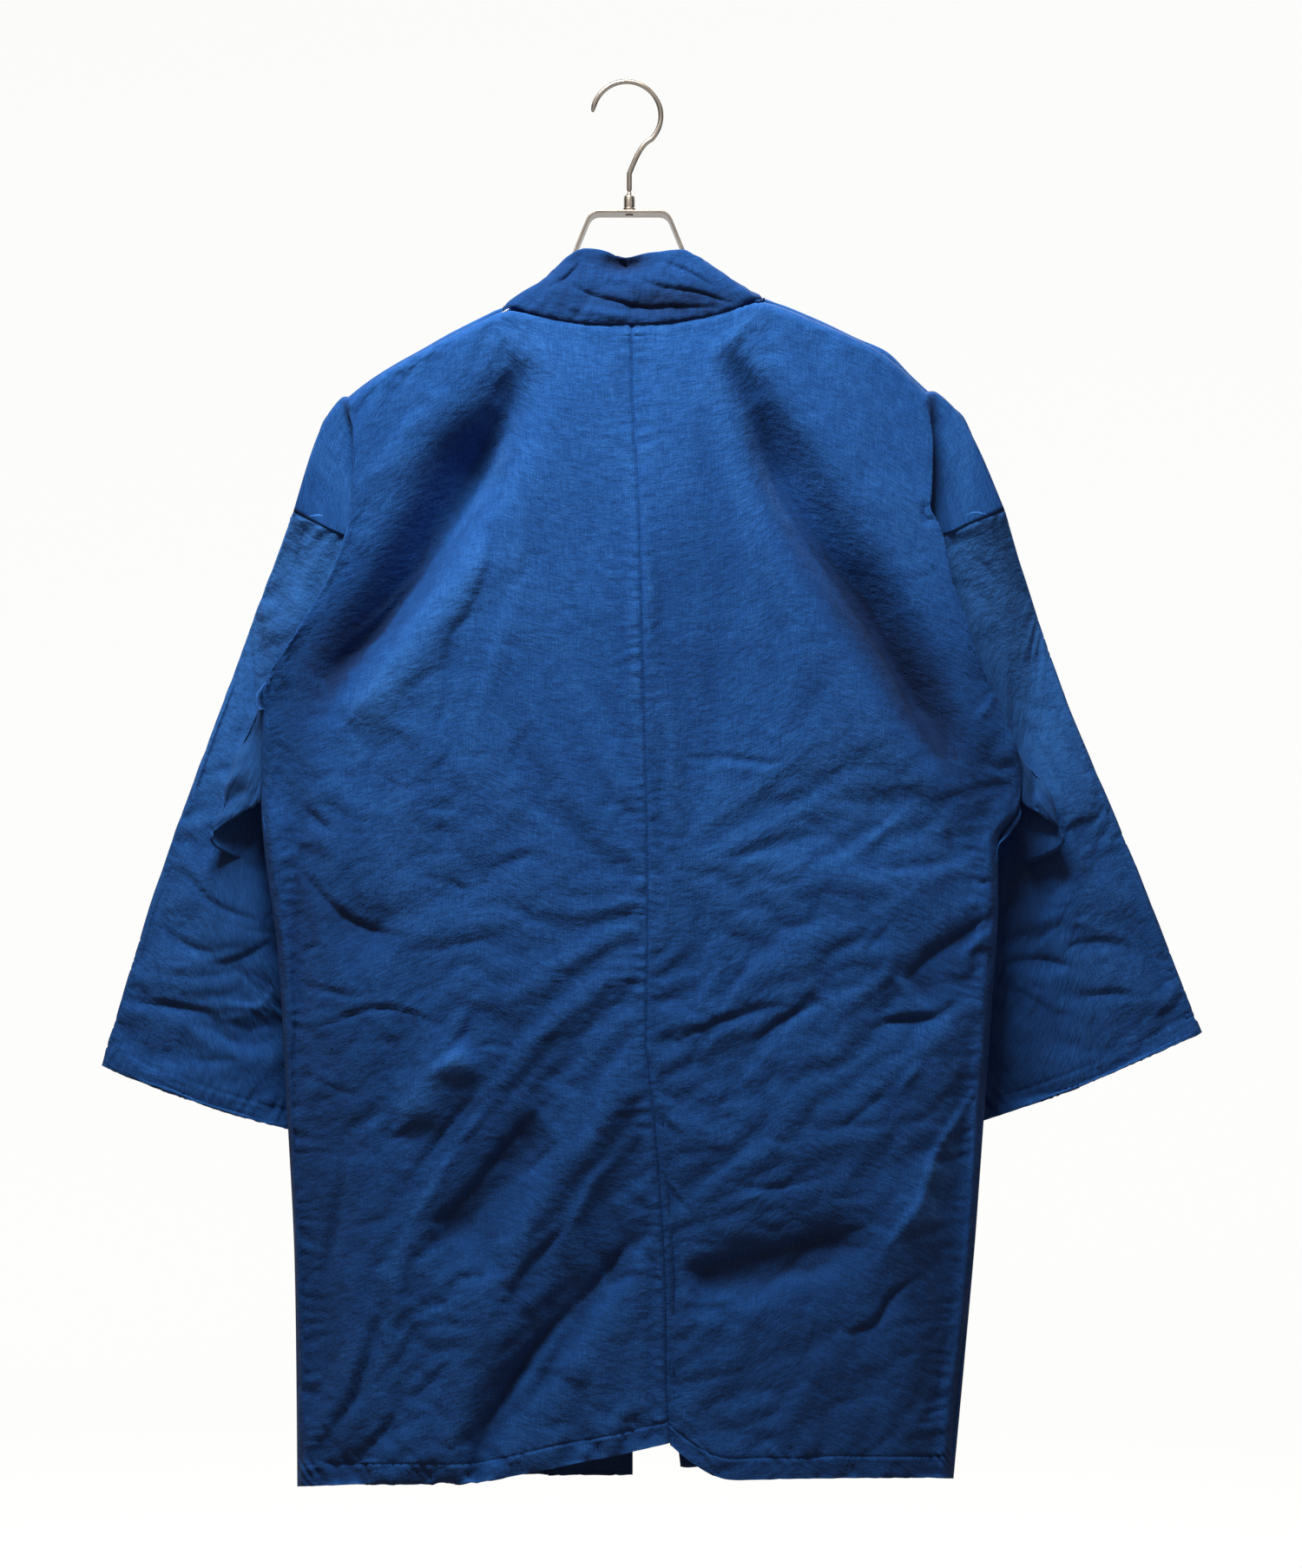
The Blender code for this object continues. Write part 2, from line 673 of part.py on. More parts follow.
def hanger_strip():
    mesh = bpy.data.meshes.new("hanger_strip")
    bm = bmesh.new()
    verts = [bm.verts.new((x * MM, -STRIP_WIDTH / 2 * MM, z * MM)) for x, z in strip_route()]
    edges = [bm.edges.new(pair) for pair in zip(verts, verts[1:])]
    swept = bmesh.ops.extrude_edge_only(bm, edges=edges)["geom"]
    moved = [item for item in swept if isinstance(item, bmesh.types.BMVert)]
    bmesh.ops.translate(bm, verts=moved, vec=(0, STRIP_WIDTH * MM, 0))
    bmesh.ops.recalc_face_normals(bm, faces=bm.faces)
    bm.to_mesh(mesh)
    bm.free()
    piece = add_object("hanger_strip", mesh, "metal", roughness=0.35, metallic=1.0)
    wall = piece.modifiers.new("plate", "SOLIDIFY")
    wall.thickness = STRIP_THICKNESS * MM
    wall.offset = 0.0
    return piece


clear_scene()
collection = bpy.data.collections.new("happi_coat")
bpy.context.scene.collection.children.link(collection)
for coat_side in (LEFT, RIGHT):
    back_panel(coat_side)
    front_panel(coat_side)
    sleeve(coat_side)
collar_band()
hanger_hook()
hanger_ferrule()
hanger_strip()
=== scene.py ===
# Happi coat on a flat-steel hanger, seen from its back. Tables are in millimetres, the scene is in metres.
import math

import bmesh
import bpy
import numpy as np
from mathutils import Matrix, Vector


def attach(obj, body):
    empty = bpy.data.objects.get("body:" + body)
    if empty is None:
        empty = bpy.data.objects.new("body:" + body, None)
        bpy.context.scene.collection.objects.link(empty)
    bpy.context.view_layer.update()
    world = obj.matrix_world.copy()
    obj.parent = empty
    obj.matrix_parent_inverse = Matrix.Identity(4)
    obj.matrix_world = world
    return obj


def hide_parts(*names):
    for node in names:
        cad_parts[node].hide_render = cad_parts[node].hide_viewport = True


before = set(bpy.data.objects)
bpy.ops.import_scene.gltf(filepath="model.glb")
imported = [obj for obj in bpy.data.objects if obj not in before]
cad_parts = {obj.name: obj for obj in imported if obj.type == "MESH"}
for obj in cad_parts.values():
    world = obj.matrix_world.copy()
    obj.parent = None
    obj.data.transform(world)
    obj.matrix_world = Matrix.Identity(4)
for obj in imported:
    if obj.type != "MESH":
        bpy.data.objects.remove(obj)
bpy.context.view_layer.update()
mm = 0.001

view = {
    "distance": 2300.0,  # from the lens to the middle of the coat
    "centreX": 18.5,
    "centreZ": -532.0,
    "frameHeight": 1192.0,  # what the frame takes in at the coat
}

cutting = {
    "centreGap": 0.5,
    "ridgeGap": 0.5,
    "armholeGap": 0.3,
    "armholeFoldGap": 1.5,
    "bandGap": 1.2,
    "shoulderHalfWidth": 16.0,
    "shoulderDrop": 9.0,
    "backDepth": 42.0,
    "frontDepth": 38.0,
    "sideTurn": 6.0,
    "sideDepth": 13.0,
    "underarmZ": -545.0,
    "panelLength": 850.0,
    "cuffDip": 4.0,
    "cloth": 1.1,
    "bandCloth": 2.4,
}

centreBack = (  # height, x
    (-183, 4), (-312, 9), (-387, 11), (-629, 16), (-734, 15),
    (-783, 20), (-898, 28), (-1003, 30), (-1066, 35),
)

neckDepths = (  # share of the way to the neck side, y
    (0, -20), (0.5, -18), (0.76, -16), (0.9, -14.5), (1.0, -12.5), (1.03, -5), (1.07, -0.25),
)

foldDepths = (  # height at the fold, y of the fold, of its root, of the seam
    (-234, -16, -7, -6), (-260, -18, -8, -7), (-330, -21, -11, -9), (-379, -23, -15, -8),
    (-430, -22, -15, -9), (-462, -15, -13, -11), (-500, -12, -10.5, -9), (-538, -6, -4, -2.5),
    (-550, -8, -4, -0.5), (-575, -13, -5, -0.25),
    (-700, -15, -6, -0.25), (-1066, -15, -6, -0.25),
)

underarmFold = (  # place round the half ring, reach out, rise, stand off
    (0.0, 0, 0, 0), (0.5, 0, 0, 0), (0.7, 14, 5, 4), (0.8, 26, 5, 5), (0.93, 36, 4, 7), (1.0, 42, 3, 8),
)

leftSide = {
    "name": "left",
    "sign": -1,
    "turnStart": -525.0,
    "dropBulge": 7.0,
    "top": (  # neck seam, then shoulder ridge: x, z
        (4, -183), (-15, -183), (-42, -181), (-65, -177), (-81, -172), (-88, -169),
        (-125, -187), (-156, -203), (-187, -220), (-210, -238),
    ),
    "drop": ((-210, -238), (-228, -253), (-240, -286), (-253, -325)),
    "hem": ((34, -1033), (9, -1040), (-78, -1057), (-111, -1065), (-250, -1066)),
    "fold": (  # height at the fold, x of the fold, of its root, of the seam, height of the seam
        (-238, -210, -214, -253, -325), (-271, -209, -194, -244, -330), (-296, -209, -190, -234, -335),
        (-321, -210, -191, -223, -340), (-341, -214, -197, -211, -346), (-379, -229, -209, -203, -381),
        (-404, -245, -222, -214, -405), (-433, -264, -248, -241, -434), (-457, -276, -275, -274, -458),
        (-478, -272, -276, -277.5, -478), (-545, -272, -276.5, -277.5, -545),
        (-594, -269, -272.9, -273.5, -594), (-659, -260.5, -264.4, -265, -659),
        (-794, -252.5, -256.4, -257, -794),
        (-896, -247.5, -251.4, -252, -896), (-1066, -245.5, -249.4, -250, -1066),
    ),
    "frontEdge": (  # height on the fold line, then x, z, y of the front's armhole
        (-238, -253, -325, 5), (-300, -233, -337, 9), (-341, -214, -352, 15), (-400, -212, -400, 20),
        (-457, -240, -458, 18), (-510, -268, -511, 9), (-545, -277.5, -545, 0.4), (-600, -273, -600, 0.25),
    ),
    "sleeve": (  # share of length, outer x and z, inner x and z, y of the middle, half depth
        (0.00, -253, -325, -279, -548, 3, 6), (0.20, -284, -409, -271, -594, 25, 10),
        (0.40, -315, -493, -261, -655, 28, 12), (0.70, -361, -620, -248, -735, 32, 12),
        (1.00, -399, -746, -236, -800, 34, 13),
    ),
    "band": (  # sewn edge x, y, z, then free edge x, y, z
        (4, -20, -182.1, 4, -15.5, -129), (-15, -20, -182.1, -10, -15.5, -127),
        (-42, -18, -180.0, -31, -15, -125), (-65, -16, -175.7, -42, -14.5, -129),
        (-80, -14.5, -171, -49, -9, -135), (-88, -12.5, -168, -54, -3, -140),
        (-92.5, -2, -169, -57, 6, -143.5), (-91, 14.5, -174, -54, 17, -152),
        (-84, 22, -215, -42, 28, -205), (-76, 28, -270, -27, 34, -262), (-66, 33, -350, -12, 38, -345),
        (-56, 37, -450, 1, 40, -450), (-52, 39, -600, 3.8, 41, -600), (-52, 38, -850, 4.2, 40, -850),
        (-53, 37, -1057, 4.5, 39, -1057),
    ),
}

rightSide = {
    "name": "right",
    "sign": 1,
    "turnStart": -565.0,
    "dropBulge": 9.0,
    "top": (
        (4, -183), (25, -182), (50, -179), (72, -175), (87, -169), (98, -163),
        (119, -170), (159, -187), (195, -203), (227, -234),
    ),
    "drop": ((227, -234), (255, -253), (271, -286), (287, -324)),
    "hem": ((36, -1034), (42, -1050), (63, -1062), (101, -1061), (248, -1060)),
    "fold": (
        (-234, 227, 232, 287, -324), (-271, 234, 219, 275, -329), (-296, 234, 215, 262, -334),
        (-321, 232, 214, 248, -340), (-341, 241, 222, 234, -346), (-379, 249, 230, 224, -381),
        (-405, 259, 238, 231, -406), (-436, 269, 250, 243, -437), (-484, 290, 279, 276, -484),
        (-507, 298, 297, 298, -508), (-545, 294, 298.7, 299.5, -545), (-575, 277.5, 281.4, 282, -575),
        (-621, 277.5, 281.4, 282, -621), (-713, 271.5, 275.4, 276, -713), (-830, 263.5, 267.4, 268, -830),
        (-896, 258.5, 262.4, 263, -896), (-1060, 243.5, 247.4, 248, -1060),
    ),
    "frontEdge": (
        (-234, 287, -324, 5), (-300, 258, -337, 9), (-341, 236, -352, 15), (-400, 228, -400, 20),
        (-457, 256, -458, 18), (-510, 288, -511, 9), (-545, 299.5, -545, 0.4), (-575, 282, -575, 0.25),
    ),
    "sleeve": (
        (0.00, 287, -324, 300, -548, 3, 6), (0.20, 312, -404, 283, -596, 26, 9),
        (0.40, 341, -485, 270, -650, 29, 12), (0.70, 390, -601, 266, -728, 32, 12),
        (1.00, 437, -721, 250, -795, 34, 13),
    ),
    "band": (
        (4, -20, -182.1, 4, -15.5, -129), (25, -20, -181.1, 20, -15.5, -128),
        (50, -18, -178.0, 42, -15, -126), (72, -16, -173.6, 52, -14.5, -131),
        (87, -14.5, -167.5, 61, -9, -137), (97.5, -12.5, -162, 68, -3, -142),
        (102.5, -2, -162.6, 72, 6, -145.5), (101, 14.5, -168, 68, 17, -153),
        (92, 22, -212, 53, 28, -205), (84, 28, -270, 38, 34, -262), (75, 33, -350, 23, 38, -345),
        (66, 37, -450, 9, 40, -450), (64, 39, -600, 7.5, 41, -600), (75, 38, -850, 19, 40, -850),
        (97, 37, -1051, 41, 39, -1051),
    ),
}


# shapes of the sewn pieces

def ease(share):
    share = np.clip(share, 0.0, 1.0)
    return share * share * (3 - 2 * share)


def curveThrough(places, values, at):
    # smooth curve through rows of values, with no overshoot at a highest or lowest one
    places = np.asarray(places, float)
    values = np.asarray(values, float)
    if places[0] > places[-1]:
        places, values = places[::-1], values[::-1]
    at = np.clip(np.asarray(at, float), places[0], places[-1])
    low = np.clip(np.searchsorted(places, at, side="right") - 1, 0, len(places) - 2)
    before, after = np.maximum(low - 1, 0), np.minimum(low + 2, len(places) - 1)
    span = (places[low + 1] - places[low])[..., None]
    t = (at - places[low])[..., None] / span
    lowV, highV, beforeV, afterV = values[low], values[low + 1], values[before], values[after]
    startSlope = (highV - beforeV) / (places[low + 1] - places[before])[..., None] * span
    endSlope = (afterV - lowV) / (places[after] - places[low])[..., None] * span
    startSlope = np.where((highV - lowV) * (lowV - beforeV) <= 0, 0.0, startSlope)
    endSlope = np.where((highV - lowV) * (afterV - highV) <= 0, 0.0, endSlope)
    bend = (2 * t**3 - 3 * t**2 + 1) * lowV + (t**3 - 2 * t**2 + t) * startSlope
    return bend + (3 * t**2 - 2 * t**3) * highV + (t**3 - t**2) * endSlope


def trace(rows, at):
    rows = np.asarray(rows, float)
    return curveThrough(rows[:, 0], rows[:, 1:], np.atleast_1d(at))[0]


def lengthsAlong(points):
    # distance of each point of a line from its start
    return np.concatenate([[0.0], np.cumsum(np.linalg.norm(np.diff(points, axis=0), axis=1))])


def along(points, share):
    # point at a share of a line's length
    points = np.asarray(points, float)
    reach = lengthsAlong(points)
    return np.array([np.interp(share * reach[-1], reach, column) for column in points.T])


def foldZ(side, share):
    tipZ, hemZ = side["fold"][0][0], side["fold"][-1][0]
    return tipZ + (hemZ - tipZ) * share


def underarmShare(side):
    # where the underarm lies, as a share of the way down the fold
    return (cutting["underarmZ"] - side["fold"][0][0]) / (side["fold"][-1][0] - side["fold"][0][0])


def hump(offset, width):
    # 1 where the offset is 0, dying away over the width
    return np.exp(-((offset / width) ** 2))


def spots(x, z, rows):
    # soft round patches: x and z of the middle, reach in x and in z, strength
    total = np.zeros_like(x)
    for middleX, middleZ, reachX, reachZ, strength in rows:
        total += strength * np.exp(-(((x - middleX) / reachX) ** 2) - ((z - middleZ) / reachZ) ** 2)
    return total


def shoulderTurn(drop, start):
    half = max(cutting["shoulderHalfWidth"], start)
    if drop >= cutting["shoulderDrop"]:
        return half
    turned = (1 - (1 - drop / cutting["shoulderDrop"]) ** 3) ** (1 / 3)
    return start + (half - start) * turned


def turnedDepth(y, share):
    turned = shoulderTurn(share * cutting["panelLength"], 0.0) / cutting["shoulderHalfWidth"]
    start = math.copysign(cutting["ridgeGap"] / 2, y)
    return start + (y - start) * turned


def backLines(side, share):
    # fold, root and seam of the back panel at a share of its length
    z = foldZ(side, share)
    foldX, rootX, seamX, seamZ = trace(side["fold"], z)
    foldY, rootY, seamY = [turnedDepth(y, share) for y in trace(foldDepths, z)]
    return np.array([foldX, foldY, z]), np.array([rootX, rootY, z]), np.array([seamX, seamY, seamZ])


shading = {"fallX": 0.25, "fallZ": -0.97}  # the way light falls across the back

largeFolds = (  # depth (hollows positive), width, then the x and z it runs through
    (22, 19, ((-82, -197), (-122, -275), (-172, -348), (-228, -425), (-266, -505))),
    (22, 23, ((-108, -240), (-158, -312), (-212, -384), (-254, -446), (-275, -515))),
    (-6, 16, ((-114, -333), (-141, -379), (-178, -429), (-222, -497))),
    (20, 16, ((81, -190), (121, -266), (160, -337), (212, -411), (255, -495), (272, -570))),
    (22, 21, ((105, -238), (145, -310), (198, -388), (245, -468), (278, -550))),
    (7, 18, ((-255, -590), (-234, -611), (-163, -649))),
    (-7, 16, ((-115, -726), (-155, -754), (-170, -800))),
    (9, 20, ((-70, -782), (-118, -838), (-160, -880))),
    (8, 18, ((2, -870), (-60, -930), (-110, -1000), (-130, -1050))),
    (10, 16, ((40, -901), (100, -891), (190, -865))),
    (-8, 18, ((266, -760), (222, -840), (190, -900))),
    (9, 20, ((212, -688), (244, -659), (275, -632))),
)


def curved(path, steps=6):
    # the path's points with a smooth run between them
    path = np.asarray(path, float)
    if len(path) == 2:
        return np.linspace(path[0], path[1], 3)
    places = lengthsAlong(path)
    at = np.unique(np.concatenate([np.linspace(a, b, steps) for a, b in zip(places, places[1:])]))
    return curveThrough(places, path, at)


def strokeField(x, z, depth, leftWidth, rightWidth, path, soft=False, startTaper=0.2):
    # one crease: deepest along its path, with a width of its own on each side of it
    path = curved(path)
    steps = np.linalg.norm(np.diff(path, axis=0), axis=1)
    reach = np.concatenate([[0.0], np.cumsum(steps)])
    margin = 5.0 * max(leftWidth, rightWidth)
    field = np.zeros_like(x)
    near = (x > path[:, 0].min() - margin) & (x < path[:, 0].max() + margin)
    near &= (z > path[:, 1].min() - margin) & (z < path[:, 1].max() + margin)
    if not near.any():
        return field
    px, pz = x[near], z[near]
    best = np.full(px.shape, 1e9)
    place, handed = np.zeros_like(px), np.zeros_like(px)
    for start, end, length, done in zip(path, path[1:], steps, reach):
        run = end - start
        part = np.clip(((px - start[0]) * run[0] + (pz - start[1]) * run[1]) / length**2, 0, 1)
        offX, offZ = px - start[0] - part * run[0], pz - start[1] - part * run[1]
        distance = np.hypot(offX, offZ)
        closer = distance < best
        best = np.where(closer, distance, best)
        place = np.where(closer, done + part * length, place)
        handed = np.where(closer, run[0] * offZ - run[1] * offX, handed)
    share = place / reach[-1]
    arch = np.sin(np.pi * np.clip(share, 0.0, 1.0))
    swelling = 0.75 + 0.5 * arch**0.7 if soft else 0.4 + 0.7 * arch**0.8
    run = path[-1] - path[0]  # the line that is stated lies on the flank that turns away from above
    below = 1.0 if run[0] * shading["fallZ"] - run[1] * shading["fallX"] > 0 else -1.0
    steep, broad = (1.0, 1.0) if soft else (0.42, 1.5)
    lean = (0.65 if soft else 0.28) * (leftWidth + rightWidth) / 2 * swelling
    signed = np.where(handed > 0, best, -best) - below * lean
    width = np.where(signed > 0, leftWidth, rightWidth) * swelling
    width = width * np.where(signed * below > 0, broad, steep)
    best = np.abs(signed)
    taper = ease(share / startTaper + 0.15) * ease((1 - share) / 0.3 + 0.05) if soft else arch**0.75
    ratio = best / width
    profile = np.exp(-(ratio**2)) if soft else np.exp(-1.5 * (np.sqrt(ratio**2 + 0.03) - 0.17))
    field[near] = depth * taper * profile * ease((margin - best) / (0.4 * margin))
    return field


def softNoise(x, z, sizeX, sizeZ, seed):
    # smooth uneven field from about -1 to 1, sizeX by sizeZ from one hump to the next
    lattice = np.random.default_rng(seed).uniform(-1, 1, (64, 64))
    u, v = x / sizeX + 31.7, z / sizeZ + 17.3
    i, j = np.floor(u).astype(int), np.floor(v).astype(int)
    s, t = ease(u - i), ease(v - j)
    value = 0
    for di, ws in ((0, 1 - s), (1, s)):
        for dj, wt in ((0, 1 - t), (1, t)):
            value = value + lattice[(i + di) % 64, (j + dj) % 64] * ws * wt
    return value


def turnedNoise(x, z, size, stretch, angle, seed):
    # the same, stretched along a direction, from two layers turned against each other
    total = 0
    for turn, share in ((0.0, 0.6), (0.45, 0.4)):
        c, s = math.cos(angle + turn), math.sin(angle + turn)
        layer = softNoise(x * c + z * s, z * c - x * s, size * stretch, size, seed + int(turn * 20))
        total = total + share * layer
    return total


def scattered(x, z, count, box, angle, spread, depth, seed):
    # short creases at random places, most of them lying near one direction
    dice = np.random.default_rng(seed)
    total = np.zeros_like(x)
    for _ in range(count):
        cx, cz = dice.uniform(box[0], box[1]), dice.uniform(box[2], box[3])
        turn = angle + dice.normal(0, spread)
        half = dice.uniform(5, 22)
        bow = dice.uniform(-0.25, 0.25) * half
        c, s = math.cos(turn), math.sin(turn)
        path = ((cx - half * c, cz - half * s), (cx - bow * s, cz + bow * c), (cx + half * c, cz + half * s))
        height = depth * dice.uniform(0.4, 1.3) * (1 if dice.random() < 0.65 else -0.8)
        wide = dice.uniform(2.2, 5.5)
        total += strokeField(x, z, height, wide, wide * dice.uniform(0.7, 1.8), path)
    return total


def crumple(x, z, size, stretch, angle, seed):
    # sharp little ridges with soft hollows between, as washed cotton dries
    value = turnedNoise(x, z, size, stretch, angle, seed)
    return 1 - 2 * np.abs(value) ** 0.8


def backPoint(side, across, share):
    topX, topZ = along(side["top"], across)
    neckX = side["top"][5][0]
    neckShare = (topX - side["top"][0][0]) / (neckX - side["top"][0][0])
    start = -trace(neckDepths, neckShare)[0] if neckShare < neckDepths[-1][0] else cutting["ridgeGap"] / 2
    topX += side["sign"] * cutting["centreGap"] / 2 * (1 - across)
    hemZ = along(side["hem"], across)[1]
    z = topZ + (hemZ - topZ) * share
    fold = backLines(side, share)[0]
    centreX = trace(centreBack, z)[0] + side["sign"] * cutting["centreGap"] / 2
    straightX = centreX + (fold[0] - centreX) * across
    x = topX + (straightX - topX) * ease(share / 0.16)
    drop = topZ - z
    body = (cutting["backDepth"] - cutting["shoulderHalfWidth"]) * ease(drop / 260.0)
    body *= 1 - 0.3 * ease((drop - 500) / 400)
    y = -shoulderTurn(drop, start) - body * (1 - across**4)
    nearFold = ease((across - 0.86) / 0.14) * ease(share / 0.03)
    return np.array([x, y + (fold[1] - y) * nearFold, z])


def bandEdge(side, share):
    rows = [(z, x, y, z) for x, y, z, _, _, _ in side["band"][6:]]
    return trace(rows, rows[0][0] + (rows[-1][0] - rows[0][0]) * share)


def sideTurned(side, share):
    return float(ease((side["turnStart"] - foldZ(side, share)) / 40))


def frontSeam(side, share):
    z = foldZ(side, share)
    if z > side["frontEdge"][-1][0]:
        x, seamZ, y = trace(side["frontEdge"], z)
        return np.array([x, turnedDepth(y, share), seamZ])
    seam = backLines(side, share)[2]
    return np.array([seam[0], cutting["ridgeGap"] / 2, seam[2]])


def frontPoint(side, across, share):
    inner = bandEdge(side, share)
    inner[0] += side["sign"] * cutting["bandGap"]
    seam = frontSeam(side, share)
    topX, topZ = along(side["top"][5:] + side["drop"][1:], across)
    if across == 0:
        return np.array([inner[0], inner[1] if share else cutting["ridgeGap"] / 2, inner[2]])
    if share == 0:
        return np.array([topX, cutting["ridgeGap"] / 2, topZ])
    sideHemZ = side["fold"][-1][0]
    hemZ = inner[2] + (sideHemZ - inner[2]) * across if share == 1 else sideHemZ
    z = topZ + (hemZ - topZ) * share
    z += (seam[2] - z) * ease((across - 0.7) / 0.3)
    z += (inner[2] - z) * ease(1 - across / 0.25)
    if across < 0.5:
        z = min(z, topZ - min(0.3 * share * cutting["panelLength"], 5.0))
    cornerX, neckX = side["drop"][-1][0], side["top"][5][0]
    x = inner[0] + (seam[0] - inner[0]) * across
    x += (topX - neckX - (cornerX - neckX) * across) * (1 - ease(share / 0.14))
    drop = max(topZ - z, share * cutting["panelLength"] if across < 0.95 else 0.0)
    body = (cutting["frontDepth"] - cutting["shoulderHalfWidth"]) * ease(drop / 240.0) * (1 - across**3)
    y = shoulderTurn(drop, cutting["ridgeGap"] / 2) + body
    y += (inner[1] - y) * ease(1 - across / 0.3)
    edgeY = seam[1]
    if across < 1:
        edgeY += (cutting["sideDepth"] - seam[1]) * sideTurned(side, share)
    return np.array([x, y + (edgeY - y) * ease((across - 0.8) / 0.2), z])


def sleevePoint(side, seamShare, across, back, lengthShare):
    seamOf = (lambda share: backLines(side, share)[2]) if back else (lambda share: frontSeam(side, share))
    root = seamOf(seamShare)
    face = -1 if back else 1
    outX, outZ, inX, inZ, middle, half = trace(side["sleeve"], max(lengthShare, 0.2))
    hang = np.array([outX + (inX - outX) * across, 0.0, outZ + (inZ - outZ) * across])
    hang[1] = middle + face * half * math.sin(math.pi * across) ** 0.7
    hang[2] -= cutting["cuffDip"] * math.sin(math.pi * across) * lengthShare
    if lengthShare >= 0.2:
        return hang
    near = lengthShare / 0.2
    hidden = ease((across - 0.2) / 0.15) * ease((1 - across) / 0.12) if back else 0.0
    run = seamOf(seamShare + 0.01) - seamOf(max(seamShare - 0.01, 0.0))
    gap = cutting["armholeGap"]
    gap += (cutting["armholeFoldGap"] - gap) * ease((across - 0.88) / 0.12)
    away = np.array([-side["sign"] * run[2], 0.0, side["sign"] * run[0]])
    away = away / np.linalg.norm(away) * gap
    away = away + (np.array([0.0, cutting["armholeFoldGap"], 0.0]) - away) * hidden
    start = root + away
    point = start + (hang - start) * (ease(near) * 0.4 + near * 0.6)
    reach, rise, stand = trace(underarmFold, across)
    wave = math.sin(math.pi * near**1.5) * (1.0 if back else 0.8)
    return point + np.array([side["sign"] * reach * wave, face * stand * wave, rise * wave])


def refined(points, rowPlaces, columnPlaces, newRows, newColumns):
    # a finer grid on the same surface, through the coarse one's sections
    rows = curveThrough(rowPlaces, points.reshape(len(rowPlaces), -1), newRows)
    rows = rows.reshape(len(newRows), len(columnPlaces), 3).transpose(1, 0, 2)
    fine = curveThrough(columnPlaces, rows.reshape(len(columnPlaces), -1), newColumns)
    return fine.reshape(len(newColumns), len(newRows), 3).transpose(1, 0, 2)


def rounded(points, weight, passes):
    # softens sharp turns along the columns' direction where weight isn't 0
    for _ in range(passes):
        middle = (points[:, :-2] + points[:, 2:]) / 2
        points[:, 1:-1] += weight[:, 1:-1, None] * 0.5 * (middle - points[:, 1:-1])
    return points


def normalsOf(points, closed=False):
    if closed:
        wrapped = np.concatenate([points[:, -2:-1], points, points[:, 1:2]], axis=1)
        acrossRun = wrapped[:, 2:] - wrapped[:, :-2]
    else:
        acrossRun = np.gradient(points, axis=1)
    normal = np.cross(acrossRun, np.gradient(points, axis=0))
    return normal / np.maximum(np.linalg.norm(normal, axis=2, keepdims=True), 1e-9)


def outward(points, facing=-1, closed=False):
    # normals on the side that shows, which faces back unless facing is 1
    normal = normalsOf(points, closed)
    middle = normal[len(points) // 2, points.shape[1] // (4 if closed else 3), 1]
    return normal if middle * facing > 0 else -normal


def blurred(field, passes):
    for _ in range(passes):
        padded = np.pad(field, 1, mode="edge")
        around = padded[:-2, 1:-1] + padded[2:, 1:-1] + padded[1:-1, :-2] + padded[1:-1, 2:]
        field = 0.4 * field + 0.15 * around
    return field


def ridgeWearAndHollowShade(points, plain, normal):
    # ridges lighter and hollows darker: partly the dye wearing off the ridges, partly painted shade in the
    # hollows
    height = ((points - plain) * normal).sum(axis=2)
    fine, broad = blurred(height, 3), blurred(height, 30)
    return np.clip(0.10 * (fine - broad), -0.3, 0.22)


def clothLengths(points):
    # distance over the cloth from the first column and from the first row, at the middle
    acrossStep = np.linalg.norm(np.diff(points, axis=1), axis=2)
    u = np.concatenate([np.zeros((len(points), 1)), np.cumsum(acrossStep, axis=1)], axis=1)
    downStep = np.linalg.norm(np.diff(points, axis=0), axis=2)
    v = np.concatenate([np.zeros((1, points.shape[1])), np.cumsum(downStep, axis=0)], axis=0)
    return u, v


def opened(points):
    # sets each point so that its own depth doesn't shift it in the view from the lens
    scale = (view["distance"] + points[..., 1]) / view["distance"]
    result = points.copy()
    result[..., 0] = view["centreX"] + (points[..., 0] - view["centreX"]) * scale
    result[..., 2] = view["centreZ"] + (points[..., 2] - view["centreZ"]) * scale
    return result


def awayFrom(field, axis, innerAt, edgeAt):
    # one edge of a sheet, and the unit direction that leads over it
    line = np.take(field, edgeAt, axis=axis)
    away = line - np.take(field, innerAt, axis=axis)
    return line, away / np.maximum(np.linalg.norm(away, axis=-1, keepdims=True), 1e-9)


def turnedIn(points, normal, flat, fadeAndPaintedShading, edge, reach=8.0, inset=1.5, keep=None):
    # adds the seam allowance of one edge, which lies behind the neighbour it is sewn to
    order = {"firstRow": (0, 1, 0), "firstColumn": (1, 1, 0), "lastColumn": (1, -2, -1)}
    axis, innerAt, edgeAt = order[edge]
    line, away = awayFrom(points, axis, innerAt, edgeAt)
    flatLine, flatAway = awayFrom(flat, axis, innerAt, edgeAt)
    out = np.take(normal, edgeAt, axis=axis)
    steps = ((0.25, 0.9 * inset), (0.45 * reach, inset), (reach, inset))
    keep = 1.0 if keep is None else np.maximum(keep, 0.03)[:, None]
    newPoints = [line + (away * far - out * deep) * keep for far, deep in steps]
    newFlat = [flatLine + flatAway * far for far, _ in steps]
    newFadeAndPaintedShading = [np.take(fadeAndPaintedShading, edgeAt, axis=axis)] * len(steps)
    newNormal = [out] * len(steps)
    joined = []
    for old, new in ((points, newPoints), (normal, newNormal), (flat, newFlat), (fadeAndPaintedShading, newFadeAndPaintedShading)):
        new = new[::-1] if edgeAt == 0 else new
        new = np.stack(new, axis=axis)
        joined.append(np.concatenate([new, old] if edgeAt == 0 else [old, new], axis=axis))
    return joined


def meshFrom(bm, name):
    mesh = bpy.data.meshes.new(name)
    bm.to_mesh(mesh)
    bm.free()
    return mesh


